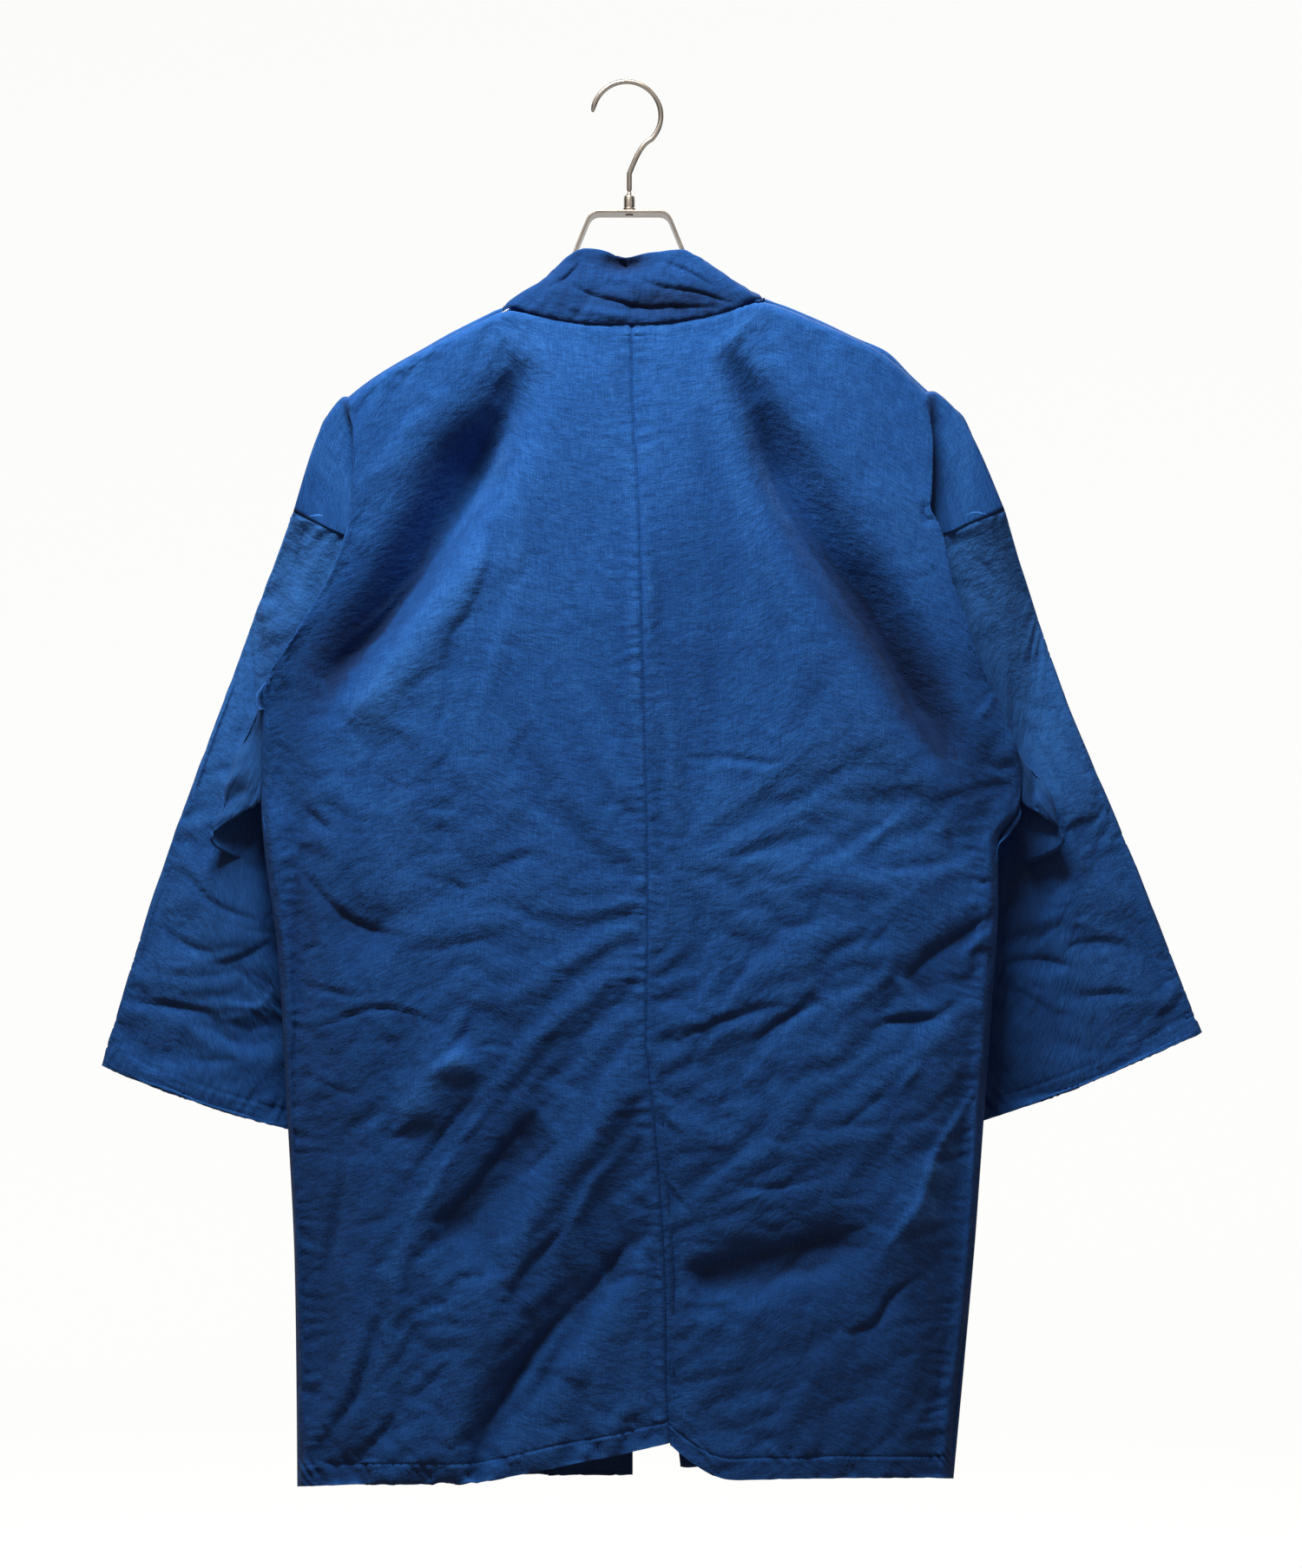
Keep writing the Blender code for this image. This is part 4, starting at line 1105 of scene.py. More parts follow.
def backPiece(side):
    flapShare = backPieces["flapShare"]
    points, rows, columns = backSheet(side)
    u, v = clothLengths(points)
    flat = np.stack([u * side["sign"], -v], axis=2)
    x, z = points[..., 0].copy(), points[..., 2].copy()
    broad = creaseSum(x, z, [(fold[0], fold[1], fold[1], fold[2]) for fold in largeFolds], 1.0, True)
    shade = backPieces["troughShade"][side["name"]] * np.clip(broad, -8, 40)
    shade *= 0.15 + 2.2 * ease((-290 - z) / 140)
    depth = broad * (1 - ease((columns - 0.60) / 0.24)) + backCrumple(side, x, z, *wandering(x, z))
    depth *= 0.25 + 0.75 * ease(u / 10.0)
    depth *= ease(v / 50.0)
    fromArm = rows[:, None] - underarmShare(side)
    pastFold = (columns[None, :] - (1 - flapShare)) / flapShare
    # the creases die out round the fold
    fadeOut = 1 - ease((pastFold + 0.25) / 0.5) * (1 - 0.3 * ease(-fromArm / 0.02))
    plain = points.copy()
    points = points - outward(points) * (depth * fadeOut)[..., None]
    whole = slice(None)
    edges = (
        (0, 1.0), (1, 0.5), ((whole, 0), 1.0), ((whole, 1), 0.3), ((whole, -1), 1.0), ((whole, -2), 0.6),
        (-1, 0.3), (-2, 0.15),
    )
    loose = fadeOut * ease(v / 25) * ease((u - 3) / 14)
    points += buckled(points, backPieces["pulls"][side["name"]], edges) * loose[..., None]
    depth, fromFoot = backSeams(side, x, z, u, v, columns, ease((fromArm - 0.01) / 0.03))
    normal = outward(points)
    points = points - normal * (depth * fadeOut)[..., None]
    fadeAndPaintedShading = backToneAndPaintedLight(x, z) - shade * (columns < 1 - 0.97 * flapShare) + ridgeWearAndHollowShade(points, plain, normal)
    fadeAndPaintedShading -= 0.12 * hump(u, 2.5)
    flap = ease((columns[None, :] - (1 - flapShare)) / 0.02)
    fadeAndPaintedShading += flap * (0.30 * turnedNoise(x, z, 16.0, 3.2, 1.45, 75))
    fadeAndPaintedShading += 0.25 * hump(fromFoot, 2.0)
    atCorner = hump(np.abs(x[0]) - abs(side["top"][5][0]) - 4, 6)  # closes the neck seam's end
    sheet = turnedIn(points, normal, flat, fadeAndPaintedShading, "firstRow", 3.5, 1.0, atCorner)
    if side is leftSide:
        sheet = turnedIn(*sheet, "firstColumn")
    return cutAndSewn("backPanel", side, sheet, bodyCotton, "back_")


for side in (leftSide, rightSide):
    piece = backPiece(side)
    print("back panel", side["name"], len(piece.data.polygons))


# sleeves

sleevePieces = {
    "ringColumns": 190,
    "rows": 190,
    "length": 480.0,
    "hemDepth": 15.0,
    "grain": 0.924,
    "fadeAndPaintedShading": 0.55,
    "pulls": {
        "left": (
            (-325, -700, 90, 80, 78, 0.09), (-285, -430, 60, 130, 15, 0.07), (-300, -590, 80, 80, 60, 0.08),
        ),
        "right": (
            (350, -690, 100, 80, 100, 0.09), (320, -430, 60, 130, -15, 0.07), (330, -580, 80, 90, 125, 0.08),
        ),
    },
    "small": {
        "left": (60, (-400, -230, -800, -330), 0.1, 0.45, 0.9, 420),
        "right": (60, (250, 440, -800, -330), 0.1, 0.45, 0.9, 422),
    },
    "paintedLightAndShade": {  # on the back: painted light on the fold that stands out under the arm, and painted shade in the hollow below it
        "left": ((-305, -510, 36, 52, 0.55), (-268, -610, 24, 60, -0.15)),
        "right": ((318, -510, 36, 52, 0.55), (302, -610, 24, 60, -0.55)),
    },
}
sleeveCreases = {
    "left": (  # depth, width to either side, then x and z along it
        (2.6, 3.9, 3.9, ((-384, -695), (-351, -700), (-323, -705))),
        (-1.8, 3.9, 3.9, ((-373, -685), (-345, -695), (-315, -702))),
        (-1.8, 4.0, 4.0, ((-310, -698), (-283, -700), (-268, -684))),
        (1.4, 2.5, 2.5, ((-337, -711), (-339, -735), (-342, -759))),
        (1.6, 4.0, 4.0, ((-321, -563), (-309, -571), (-292, -563))),
        (3.0, 12.5, 12.5, ((-279, -398), (-288, -464), (-304, -517))),
        (-2.0, 9.4, 9.4, ((-249, -365), (-262, -438), (-279, -484))),
        (2.0, 6.2, 6.2, ((-335, -596), (-312, -622), (-279, -636))),
        (1.6, 3.9, 3.9, ((-358, -636), (-328, -655), (-304, -659))),
        (2.0, 6.2, 6.2, ((-321, -669), (-292, -662), (-269, -649))),
        (1.8, 5.5, 5.5, ((-249, -348), (-255, -372), (-246, -398))),
    ),
    "right": (  # depth, width to either side, then x and z along it
        (2.4, 4.0, 4.0, ((341, -691), (372, -686), (388, -690))),
        (1.4, 4.0, 4.0, ((388, -635), (400, -636))),
        (1.2, 3.0, 3.0, ((325, -704), (293, -686))),
        (1.2, 3.0, 3.0, ((325, -704), (339, -705))),
        (1.2, 3.0, 3.0, ((325, -704), (330, -738))),
        (6.0, 20.3, 20.3, ((292, -546), (302, -596), (315, -636))),
        (2.0, 7.8, 7.8, ((296, -358), (312, -411), (325, -464))),
        (-2.0, 9.4, 9.4, ((319, -504), (342, -570), (356, -636))),
        (2.0, 6.2, 6.2, ((302, -477), (325, -517), (339, -550))),
        (1.8, 4.7, 4.7, ((332, -655), (365, -649), (395, -659))),
        (1.6, 3.9, 3.9, ((282, -669), (315, -665), (348, -675))),
        (1.6, 3.9, 3.9, ((263, -358), (282, -372), (292, -398))),
    ),
    "leftFront": (
        (3.5, 12, 12, ((-250, -560), (-290, -620), (-310, -690))),
        (-2.5, 9, 9, ((-270, -500), (-320, -580), (-350, -680))),
        (2.4, 6, 6, ((-265, -700), (-310, -712), (-360, -700))),
        (1.8, 5, 5, ((-290, -640), (-330, -655))),
    ),
    "rightFront": (
        (3.5, 12, 12, ((280, -560), (310, -620), (330, -690))),
        (-2.5, 9, 9, ((300, -480), (350, -580), (380, -670))),
        (2.4, 6, 6, ((285, -690), (335, -700), (390, -680))),
        (1.8, 5, 5, ((320, -620), (365, -630))),
    ),
}


def sleeveSheet(side):
    underarm = underarmShare(side)
    length = cutting["panelLength"]
    seams = np.concatenate([np.array([0, 1.2, 4.5]) / length, np.linspace(9.0 / length, underarm, 15)])
    half = len(seams) - 1
    ring = list(range(2 * half + 1))
    steps = np.linspace(0, 1, 22) ** 1.25

    def pointOf(column, length):
        back = column <= half
        share = seams[column if back else 2 * half - column]
        return sleevePoint(side, share, share / underarm, back, length)

    coarse = gridOf(pointOf, steps, ring)
    across = np.array([seams[c if c <= half else 2 * half - c] / underarm for c in ring])
    places = np.where(np.array(ring) <= half, across, 2 - across) / 2
    places += np.arange(len(places)) * 1e-6
    hemShare = 1 - sleevePieces["hemDepth"] / sleevePieces["length"]
    rows = spread(sleevePieces["rows"], [(hemShare, 0.006, 4.0), (0.0, 0.02, 1.5)])
    columns = spread(sleevePieces["ringColumns"], [(0.0, 0.02, 1.5), (0.5, 0.03, 2.0), (1.0, 0.02, 1.5)])
    columns = columns * (places[-1] - places[0]) + places[0]
    points = refined(coarse, steps, places, rows, columns)
    points[:, -1] = points[:, 0]
    return points, rows, columns


def sleevePiece(side):
    name = side["name"]
    points, rows, columns = sleeveSheet(side)
    u, v = clothLengths(points)
    x, z = points[..., 0].copy(), points[..., 2].copy()
    back = (columns < 0.5)[None, :] * np.ones((len(rows), 1))
    wx, wz = wandering(x, z, 4.0)
    depth = creaseSum(wx, wz, sleeveCreases[name], 1.0) * back
    depth += creaseSum(wx, wz, sleeveCreases[name + "Front"], 1.2) * (1 - back)
    depth += washedSurface(x, z, sleevePieces["grain"], 100, 0.9 * side["sign"])
    depth += scattered(wx + 7 * back, wz + 11 * back, *sleevePieces["small"][name])  # other ones on the front
    fromSeam = np.minimum(np.minimum(np.abs(columns), np.abs(1 - columns)), np.abs(columns - 0.5))[None, :]
    depth *= 0.35 + 0.65 * ease(fromSeam / 0.05)
    depth *= ease(v / 14.0)
    plain = points.copy()
    points = points - outward(points, closed=True) * depth[..., None]
    whole, middle = slice(None), draping["columns"] // 2
    edges = (
        (0, 1.0), (1, 0.5), ((whole, 0), 1.0), ((whole, 1), 0.2), ((whole, -1), 1.0), ((whole, -2), 0.2),
        ((whole, middle), 0.5), (-1, 0.3), (-2, 0.15),
    )
    points += buckled(points, sleevePieces["pulls"][name], edges) * ease(v / 20.0)[..., None]
    points[:, -1] = points[:, 0]
    depth = stitchedSeam(v, 2.0, 0.2) + 1.0 * puckers(u, v - 4, 16.0, 13.0, 81 + side["sign"]) * ease(v / 3)
    fromFoot = v[-1:, :] - v
    hem, relief = hemRelief(u, fromFoot, sleevePieces["hemDepth"], 87)
    depth += relief + 1.9 * puckers(u, fromFoot - hem * 0.8, 11.0, 8.0, 83 + side["sign"])
    normal = outward(points, closed=True)
    points = points - normal * depth[..., None]
    points[:, -1] = points[:, 0]
    fadeAndPaintedShading = sleevePieces["fadeAndPaintedShading"] + ridgeWearAndHollowShade(points, plain, normal) + 0.14 * turnedNoise(x, z, 110.0, 1.2, 0.5, 171)
    fadeAndPaintedShading += 0.07 * turnedNoise(x, z, 40.0, 1.0, 0.9, 172)
    # painted light on the sleeve's top, which faces down into shade, and slight painted shade low on the
    # sleeve
    fadeAndPaintedShading += 0.62 * ease((z + 520) / 170) - 0.08 * ease((-600 - z) / 200)
    # painted light and painted shade on the back of the sleeve
    fadeAndPaintedShading += back * spots(x, z, sleevePieces["paintedLightAndShade"][name])
    fadeAndPaintedShading += 0.25 * hump(fromFoot, 2.0)
    flat = np.stack([u, -v], axis=2)
    ends = (ease((np.minimum(columns, 1 - columns) - 0.04) / 0.05)
            * ease((np.abs(columns - 0.5) - 0.02) / 0.04))
    sheet = turnedIn(points, normal, flat, fadeAndPaintedShading, "firstRow", keep=ends)
    return cutAndSewn("sleeve", side, sheet, sleeveCottonShaded, "sleeve_", ring=True)


for side in (leftSide, rightSide):
    piece = sleevePiece(side)
    print("sleeve", side["name"], len(piece.data.polygons))


# front panels

frontPieces = {
    "columns": 100,
    "rows": 250,
    "turnAt": 0.93,  # column from which the side turns in
    "turnFrom": 0.985,  # and the place across the panel that lies there
    "hemDepth": 16.0,
    "grain": 0.66,
    "fadeAndPaintedShading": 0.34,
    "simColumns": 36,
    "pulls": {
        "left": (
            (-150, -900, 110, 190, 20, 0.06), (-200, -650, 80, 110, 100, 0.05),
            (-150, -380, 90, 130, 15, 0.03),
        ),
        "right": (
            (160, -880, 110, 190, 160, 0.06), (220, -640, 80, 110, 75, 0.05), (160, -380, 90, 130, 165, 0.03),
        ),
    },
    "small": {
        "left": (50, (-270, -50, -1060, -200), -0.6, 0.6, 0.8, 430),
        "right": (50, (60, 290, -1060, -200), 0.6, 0.6, 0.8, 432),
    },
}
frontCreases = {
    "left": (
        (7, 16, 20, ((-120, -215), (-165, -300), (-205, -390))),
        (-4, 12, 12, ((-105, -260), (-150, -360), (-190, -450))),
        (3, 9, 9, ((-240, -600), (-205, -640), (-150, -662))),
        (3, 8, 8, ((-235, -745), (-180, -720), (-120, -715))),
        (-3, 10, 10, ((-90, -780), (-120, -860), (-160, -940))),
        (4, 10, 14, ((-80, -860), (-118, -930), (-170, -1010))),
        (2, 6, 6, ((-200, -880), (-222, -950))),
        (2, 5, 5, ((-75, -560), (-120, -572), (-165, -560))),
        (2.5, 9, 9, ((-215, -960), (-225, -1030))),
    ),
    "right": (
        (7, 18, 16, ((125, -210), (170, -300), (220, -390))),
        (-4, 12, 12, ((110, -270), (150, -360), (205, -450))),
        (4, 9, 12, ((265, -610), (225, -655), (175, -680))),
        (2, 5, 5, ((80, -640), (130, -650), (180, -640))),
        (3, 9, 9, ((255, -770), (215, -840), (180, -900))),
        (-3, 9, 9, ((90, -820), (130, -880), (170, -960))),
        (3.5, 10, 10, ((85, -900), (120, -960), (150, -1030))),
        (2, 6, 6, ((235, -930), (215, -1000))),
    ),
}


def frontSheet(side):
    length, turnAt, turnFrom = cutting["panelLength"], frontPieces["turnAt"], frontPieces["turnFrom"]
    shares = np.concatenate([[0, 1.2, 4.5, 9, 14], np.linspace(20, length, 50)]) / length
    acrosses = np.array([0, 0.03, 0.07, 0.13, 0.2, 0.3, 0.4, 0.5, 0.6, 0.7, 0.8, 0.88, 0.95, turnFrom])

    def pointOf(column, share):
        if column <= turnAt:
            return frontPoint(side, column / turnAt * turnFrom, share)
        seam = frontPoint(side, 1.0, share)
        if column >= 1:
            return seam
        before = frontPoint(side, turnFrom, share)
        turned = np.array([seam[0] - side["sign"] * 0.6, cutting["sideTurn"], seam[2]])
        middle = (before + seam) / 2
        return middle + (turned - middle) * sideTurned(side, share)

    places = np.concatenate([acrosses / turnFrom * turnAt, [(1 + turnAt) / 2, 1.0]])
    coarse = gridOf(pointOf, shares, places)
    hemShare = 1 - frontPieces["hemDepth"] / length
    rows = spread(frontPieces["rows"], [(0.0, 0.012, 2.0), (hemShare, 0.005, 4.0)])
    columns = spread(frontPieces["columns"], [(0.0, 0.02, 2.0), (1.0, 0.05, 2.0)])
    points = refined(coarse, shares, places, rows, columns)
    atTurn = ease((columns - 0.86) / 0.05) * ease((1 - columns) / 0.02)
    return rounded(points, atTurn[None, :] * np.ones((len(rows), 1)), 8), rows, columns


def frontPiece(side):
    sign, name = side["sign"], side["name"]
    points, rows, columns = frontSheet(side)
    u, v = clothLengths(points)
    x, z = points[..., 0].copy(), points[..., 2].copy()
    wx, wz = wandering(x, z)
    depth = creaseSum(wx, wz, frontCreases[name], 1.2)
    depth += washedSurface(x, z, frontPieces["grain"], 200, 0.8 * sign)
    depth += scattered(wx, wz, *frontPieces["small"][name])
    fromFoot = v[-1:, :] - v
    toSeam = u[:, -1:] - u
    calm = ease(u / 12.0) * ease(toSeam / 26.0) * ease((v - 12) / 50.0)
    plain = points.copy()
    points = points - outward(points, 1) * (depth * calm)[..., None]
    whole = slice(None)
    edges = (
        (0, 1.0), (1, 0.5), ((whole, 0), 1.0), ((whole, -1), 1.0), ((whole, -2), 0.6),
        (-1, 0.3), (-2, 0.15),
    )
    moved = buckled(points, frontPieces["pulls"][name], edges, frontPieces["simColumns"])
    points += moved * calm[..., None]
    depth = stitchedSeam(u, 1.8, 1.0) + 0.6 * puckers(z, u - 3, 9.0, 12.0, 91 + sign) * ease(u / 3)
    hem, relief = hemRelief(x, fromFoot, frontPieces["hemDepth"], 97, ease(toSeam / 10))
    drawn = 1.4 * puckers(x, fromFoot - hem * 0.8, 11.0, 8.0, 93 + sign)
    depth += relief + drawn * ease(toSeam / 14) * ease(u / 10)
    normal = outward(points, 1)
    points = points - normal * depth[..., None]
    fadeAndPaintedShading = frontPieces["fadeAndPaintedShading"] + 0.14 * turnedNoise(x, z, 110.0, 1.2, 0.5, 271) + 0.28 * ease((z + 800) / 500)
    fadeAndPaintedShading += ridgeWearAndHollowShade(points, plain, normal)
    flat = np.stack([u * sign, -v], axis=2)
    ends = ease((columns - 0.04) / 0.05) * ease((0.9 - columns) / 0.1)
    sheet = turnedIn(points, normal, flat, fadeAndPaintedShading, "firstRow", 5.0, keep=ends)
    lowRows = np.concatenate([np.zeros(3), ease((rows - underarmShare(side)) / 0.02)])
    sheet = turnedIn(*sheet, "lastColumn", 6.0, keep=lowRows)
    return cutAndSewn("frontPanel", side, sheet, bodyCotton, "front_")


for side in (leftSide, rightSide):
    piece = frontPiece(side)
    print("front panel", side["name"], len(piece.data.polygons))


# collar band, from one front hem round the neck to the other

bandPieces = {
    "stations": 700,
    "columns": 34,
    "grain": 0.4,
    "dip": 3.0,  # how far the top edge sinks behind the neck, in mm
    "small": (26, (-95, 100, -182, -126), 0.15, 0.6, 1.0, 441),
    "sunk": ((0, -134, 13, 8, 6.0),),  # where the top edge folds over itself
    # painted shade behind the neck and in the fold of the top edge: x and z of the middle, reach in x and in
    # z, strength
    "paintedShade": ((30, -164, 50, 12, 0.60), (-2, -134, 15, 8, 0.95)),
}
bandCreases = (  # behind the neck
    (2.2, 3.0, 4.0, ((-46, -150), (-27, -159), (-7, -164), (15, -169), (36, -168), (72, -168))),
    (1.8, 3.0, 3.0, ((11, -150), (30, -154), (56, -158), (83, -167))),
    (3.0, 3.9, 3.9, ((-15, -125), (-3, -133), (3, -141))),
    (-1.2, 4.0, 4.0, ((-54, -164), (-21, -172), (25, -176))),
    (1.3, 3.0, 3.0, ((25, -134), (46, -142), (66, -154))),
    (1.3, 3.0, 3.0, ((-36, -134), (-48, -146), (-62, -154))),
)


def bandPiece():
    leftRows = np.array(leftSide["band"], float)
    rightRows = np.array(rightSide["band"], float)
    rows = np.concatenate([leftRows[::-1], rightRows[1:]])
    middle = len(leftRows) - 1
    places = lengthsAlong((rows[:, :3] + rows[:, 3:]) / 2)
    whole = places[-1]
    neckShare = places[middle] / whole
    stations = spread(bandPieces["stations"], [(neckShare, 0.06, 3.0)])
    edges = curveThrough(places, rows, stations * whole)
    parts = spread(bandPieces["columns"], [(0.0, 0.05, 1.0), (1.0, 0.06, 2.0)])
    points = edges[:, None, :3] + (edges[:, None, 3:] - edges[:, None, :3]) * parts[None, :, None]
    s = stations * whole - places[middle]
    atNeck = 1 - ease((np.abs(s) - 118) / 30)
    swell = 2.2 * np.sin(np.pi * parts)[None, :] * (1 - 2 * atNeck)[:, None]
    points[..., 1] += swell
    dip = hump(points[..., 0] + 4, 11) * atNeck[:, None]
    points[..., 2] -= bandPieces["dip"] * dip * parts[None, :] ** 2
    x, z = points[..., 0].copy(), points[..., 2].copy()
    u, _ = clothLengths(points)
    fromNeck = s[:, None] * np.ones_like(parts)[None, :]
    wx, wz = wandering(x, z, 2.0)
    neck = atNeck[:, None]
    depth = creaseSum(wx, wz, bandCreases, 1.7) * neck
    depth += neck * spots(x, z, bandPieces["sunk"])
    depth += washedSurface(fromNeck, u, bandPieces["grain"], 300, 0.2) * (1 + 1.6 * neck)
    depth += scattered(wx, wz, *bandPieces["small"]) * neck
    width = u[:, -1:]
    depth *= ease(u / 6.0) * (0.4 + 0.6 * ease((width - u) / 8.0))
    depth += stitchedSeam(u, 1.6, 0.8)
    depth += 0.7 * puckers(fromNeck, u - 4, 8.0, 11.0, 97) * ease(u / 3)
    depth += 0.5 * puckers(fromNeck, width - u, 7.0, 14.0, 99)
    normal = outward(points)
    points = points - normal * depth[..., None]
    # painted shade in the band's hollows and painted light on its ridges, over uneven dye tone
    fadeAndPaintedShading = 0.32 - 0.05 * np.clip(depth, -3, 8) + 0.18 * turnedNoise(fromNeck, u, 60.0, 1.2, 0.0, 371)
    fadeAndPaintedShading += 0.3 * hump(width - u, 2.0)
    # painted shade behind the neck
    fadeAndPaintedShading -= neck * spots(x, z, bandPieces["paintedShade"])
    flat = np.stack([fromNeck, u], axis=2)
    turning = 1 - 0.55 * ease((np.abs(s) - 70) / 15) * (1 - ease((np.abs(s) - 150) / 25))
    sheet = turnedIn(points, normal, flat, fadeAndPaintedShading, "firstColumn", 8.0, 2.6, turning)
    points, _, flat, fadeAndPaintedShading = sheet
    piece = clothPiece("collarBand", points, flat, fadeAndPaintedShading, bandCottonShaded, cutting["bandCloth"])
    return settle(piece, "collar_band")


piece = bandPiece()
print("collar band", len(piece.data.polygons))


# hanger

hanger = {
    "bowRadius": 26.0,
    "wire": 4.0,
    "stemX": 2.0,
    "stemEnd": -84.0,
    "ferruleTop": -84.3,
    "ferruleFoot": -97.1,
    "barZ": -98.5,
    "stripWidth": 22.0,
    "stripThickness": 2.0,
    "stripBend": 7.0,
    "stripDrop": 4.0,
}


def hookRoute():
    centreZ = hanger["wire"] / 2 - hanger["bowRadius"]
    points = []
    for step in range(91):
        angle = math.radians(174 - step * (174 + 44) / 90)
        points.append((
            hanger["bowRadius"] * math.cos(angle), centreZ + hanger["bowRadius"] * math.sin(angle)))
    start = points[-1]
    for step in range(1, 33):
        t = step / 32
        x = start[0] + (hanger["stemX"] - start[0]) * (1.65 * t - 0.65 * t * t if t < 1 else 1.0)
        z = start[1] + (-68 - start[1]) * (0.45 * t + 0.55 * float(ease(t)))
        points.append((x, z))
    stem = (-71, -74, -77, -79.5, -80.5, -81.5, -82.5, -83.2, hanger["stemEnd"])
    points += [(hanger["stemX"], z) for z in stem]
    return points


def wireRadius(place, z):
    # rounded tip, and a waist just above the ferrule
    tip = min(1.0, 0.35 + 0.65 * math.sqrt(min(place / 5.0, 1.0)))
    waist = 1 - 0.42 * math.exp(-(((z + 82.0) / 1.0) ** 2))
    return tip * waist


def hangerHook():
    curve = bpy.data.curves.new("hookWire", "CURVE")
    curve.dimensions = "3D"
    curve.bevel_depth = hanger["wire"] / 2 * mm
    curve.bevel_resolution = 9
    curve.use_fill_caps = True
    route = hookRoute()
    spline = curve.splines.new("POLY")
    spline.points.add(len(route) - 1)
    done = 0.0
    for i, (point, (x, z)) in enumerate(zip(spline.points, route)):
        done += math.dist(route[i - 1], (x, z)) if i else 0.0
        point.co = (x * mm, 0, z * mm, 1)
        point.radius = wireRadius(done, z)
    maker = bpy.data.objects.new("hookWire", curve)
    bpy.context.scene.collection.objects.link(maker)
    mesh = bpy.data.meshes.new_from_object(maker.evaluated_get(bpy.context.evaluated_depsgraph_get()))
    bpy.data.objects.remove(maker)
    bm = bmesh.new()
    bm.from_mesh(mesh)
    bmesh.ops.remove_doubles(bm, verts=bm.verts, dist=0.000001)
    bmesh.ops.recalc_face_normals(bm, faces=bm.faces)
    bm.to_mesh(mesh)
    bm.free()
    mesh.materials.clear()
    return settle(added("hangerHook", mesh, hookNickel), "hanger_hook")


def spunPiece(name, profiles, steps, centreX, finish):
    bm = bmesh.new()
    for profile in profiles:
        verts = [bm.verts.new((radius * mm, 0, z * mm)) for radius, z in profile]
        for low, high in zip(verts, verts[1:]):
            bm.edges.new((low, high))
    bmesh.ops.spin(bm, geom=bm.verts[:] + bm.edges[:], cent=(0, 0, 0), axis=(0, 0, 1),
                   angle=2 * math.pi, steps=steps, use_merge=True)
    bmesh.ops.remove_doubles(bm, verts=bm.verts, dist=0.00001)
    bmesh.ops.recalc_face_normals(bm, faces=bm.faces)
    bmesh.ops.translate(bm, verts=bm.verts, vec=(centreX * mm, 0, 0))
    piece = added(name, meshFrom(bm, name), finish)
    eased(piece, 0.25, 3, 25)
    return piece


def hangerFerrule():
    top, foot = hanger["ferruleTop"], hanger["ferruleFoot"]
    profile = (
        (0.0, top), (2.6, top), (3.6, top - 0.7), (4.2, top - 2.0), (4.2, foot + 3.4), (4.0, foot + 3.1),
        (4.9, foot + 2.4), (4.9, foot + 0.7), (4.4, foot), (0.0, foot),
    )
    barFoot = hanger["barZ"] - hanger["stripThickness"] / 2
    rivet = (
        (0.0, barFoot - 0.1), (2.9, barFoot - 0.1), (2.9, barFoot - 0.7), (2.3, barFoot - 1.0),
        (0.0, barFoot - 1.0),
    )
    piece = spunPiece("hangerFerrule", (profile, rivet), 48, hanger["stemX"], hookNickel)
    return settle(piece, "hanger_ferrule")


def stripRoute():
    drop, barZ = hanger["stripDrop"], hanger["barZ"]
    corners = (
        (-203, -233.5 - drop), (-90, -169.6 - drop), (-49, -152), (-27, barZ),
        (31, barZ), (53, -152), (99, -164 - drop), (206, -214 - drop),
    )
    route = [corners[0]]
    for before, corner, after in zip(corners, corners[1:], corners[2:]):
        corner = Vector(corner)
        toBefore = (Vector(before) - corner).normalized() * hanger["stripBend"]
        toAfter = (Vector(after) - corner).normalized() * hanger["stripBend"]
        for step in range(13):
            t = step / 12
            route.append(tuple(corner + toBefore * (1 - t) ** 2 + toAfter * t**2))
    route.append(corners[-1])
    return route


def hangerStrip():
    bm = bmesh.new()
    width = hanger["stripWidth"] * mm
    verts = [bm.verts.new((x * mm, -width / 2, z * mm)) for x, z in stripRoute()]
    edges = [bm.edges.new(pair) for pair in zip(verts, verts[1:])]
    swept = bmesh.ops.extrude_edge_only(bm, edges=edges)["geom"]
    moved = [item for item in swept if isinstance(item, bmesh.types.BMVert)]
    bmesh.ops.translate(bm, verts=moved, vec=(0, width, 0))
    bmesh.ops.recalc_face_normals(bm, faces=bm.faces)
    piece = added("hangerStrip", meshFrom(bm, "hangerStrip"), stripNickel)
    thickened(piece, "plate", hanger["stripThickness"])
    eased(piece, 0.6, 4, 50)
    return settle(piece, "hanger_strip")


hangerHook()
hangerFerrule()
hangerStrip()
print("hanger made")


# studio

studio = {
    "paper": "#fbfbfa",
    "floorZ": -1.75,
    "glow": 0.97,
    "world": 0.07,
    "key": 60.0,
    "fill": 2.0,
    "front": 22.0,
}


def paperRoom():
    # pale floor and wall all round, well clear of the coat
    bm = bmesh.new()
    bmesh.ops.create_cone(bm, cap_ends=True, segments=96, radius1=4.6, radius2=4.6, depth=6.0)
    bmesh.ops.translate(bm, verts=bm.verts, vec=(0, 0, studio["floorZ"] + 3.0))
    foot = [edge for edge in bm.edges if all(vert.co.z < studio["floorZ"] + 0.01 for vert in edge.verts)]
    bmesh.ops.bevel(bm, geom=foot, offset=0.9, offset_type="OFFSET", segments=12, profile=0.5,
                    affect="EDGES", material=-1)
    bmesh.ops.reverse_faces(bm, faces=bm.faces)
    # uncoated photographer's paper, lit evenly from behind: even and matt
    paper, _, _ = newFinish("mattPaper", {
        "Base Color": linear(studio["paper"], 0.25),
        "Roughness": 0.95,
        "Specular IOR Level": 0.0,
        "Emission Color": linear(studio["paper"]),
        "Emission Strength": studio["glow"],
    })
    piece = added("paperRoom", meshFrom(bm, "paperRoom"), paper)
    piece.visible_diffuse = False  # it shows, but doesn't wash out the cloth's creases
    piece.visible_shadow = False


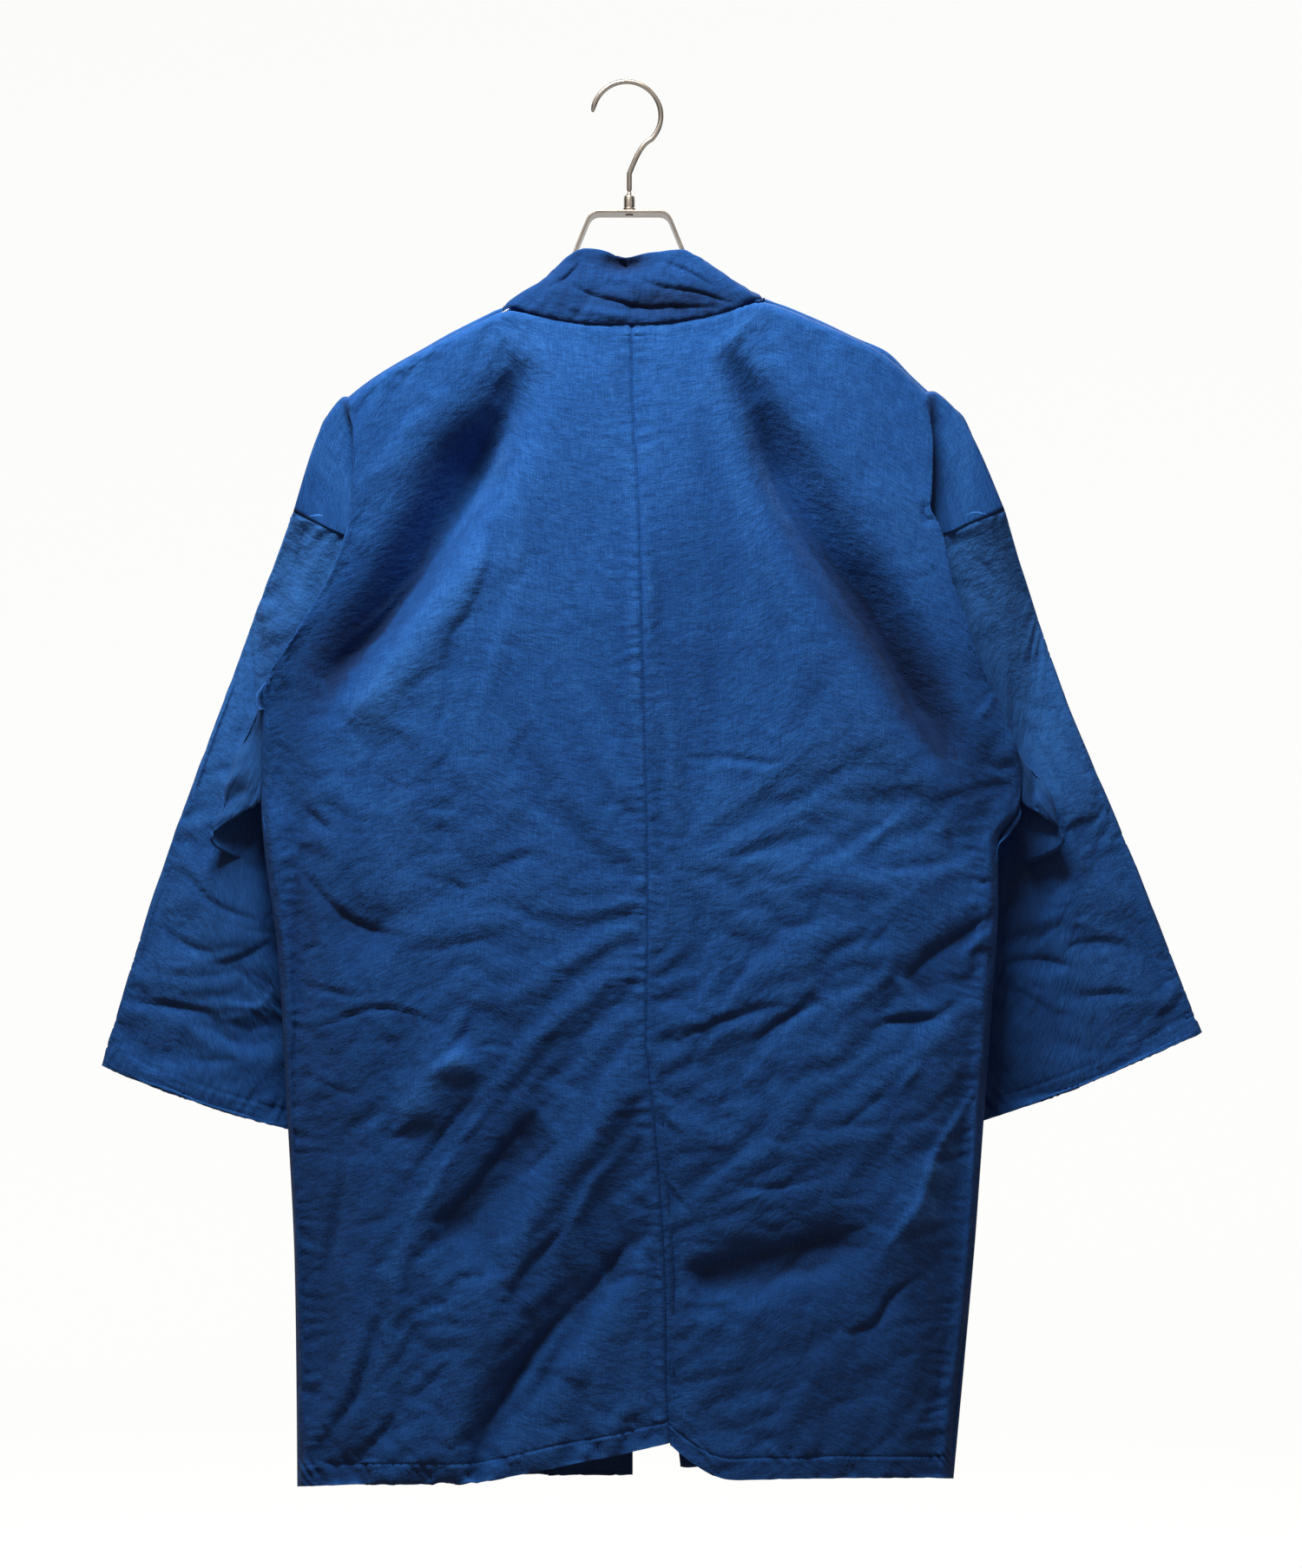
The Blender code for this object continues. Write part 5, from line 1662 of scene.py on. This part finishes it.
def darkFlags():
    # black boards at both sides, which give the round steel its dark edges
    for sign in (-1, 1):
        bm = bmesh.new()
        bmesh.ops.create_grid(bm, x_segments=1, y_segments=1, size=1.1)
        bmesh.ops.rotate(bm, verts=bm.verts, cent=(0, 0, 0), matrix=Matrix.Rotation(math.pi / 2, 3, "Y"))
        bmesh.ops.translate(bm, verts=bm.verts, vec=(sign * 2.2, -0.2, 0.2))
        felt, _, _ = newFinish("blackFelt", {  # pressed wool felt, dyed black
            "Base Color": linear("#0a0a0a"),
            "Roughness": 1.0,
        })
        board = added("darkFlag", meshFrom(bm, "darkFlag"), felt)
        board.visible_camera = False
        board.visible_diffuse = False
        board.visible_shadow = False


def areaLight(name, place, target, size, power, colour="#ffffff"):
    data = bpy.data.lights.new(name, "AREA")
    data.shape = "RECTANGLE"
    data.size, data.size_y = size
    data.energy = power
    data.color = linear(colour)[:3]
    light = bpy.data.objects.new(name, data)
    bpy.context.scene.collection.objects.link(light)
    light.location = place
    light.rotation_euler = (Vector(target) - Vector(place)).to_track_quat("-Z", "Y").to_euler()
    return light


def studioLights():
    areaLight("keyLight", (-0.25, -0.62, 0.85), (0.0, 0.0, -0.5), (0.7, 0.3), studio["key"], "#fffaf3")
    areaLight("fillLight", (1.6, -1.6, -0.3), (0.0, 0.0, -0.6), (1.2, 1.8), studio["fill"], "#f3f7ff")
    areaLight("frontLight", (0.5, 1.3, 0.9), (0.0, 0.0, -0.5), (1.0, 0.6), studio["front"])
    world = bpy.data.worlds.new("studioWorld")
    bpy.context.scene.world = world
    world.use_nodes = True
    world.node_tree.nodes["Background"].inputs["Color"].default_value = linear("#f7f9fc")
    world.node_tree.nodes["Background"].inputs["Strength"].default_value = studio["world"]


def makeCamera():
    data = bpy.data.cameras.new("camera")
    data.sensor_width = 36.0
    data.lens = 36.0 * view["distance"] / view["frameHeight"]
    data.clip_end = 50.0
    camera = bpy.data.objects.new("camera", data)
    bpy.context.scene.collection.objects.link(camera)
    camera.location = (view["centreX"] * mm, -view["distance"] * mm, view["centreZ"] * mm)
    camera.rotation_euler = (math.pi / 2, 0, 0)
    bpy.context.scene.camera = camera


paperRoom()
darkFlags()
studioLights()
makeCamera()
bpy.context.scene.view_settings.view_transform = "Standard"
print("studio made")
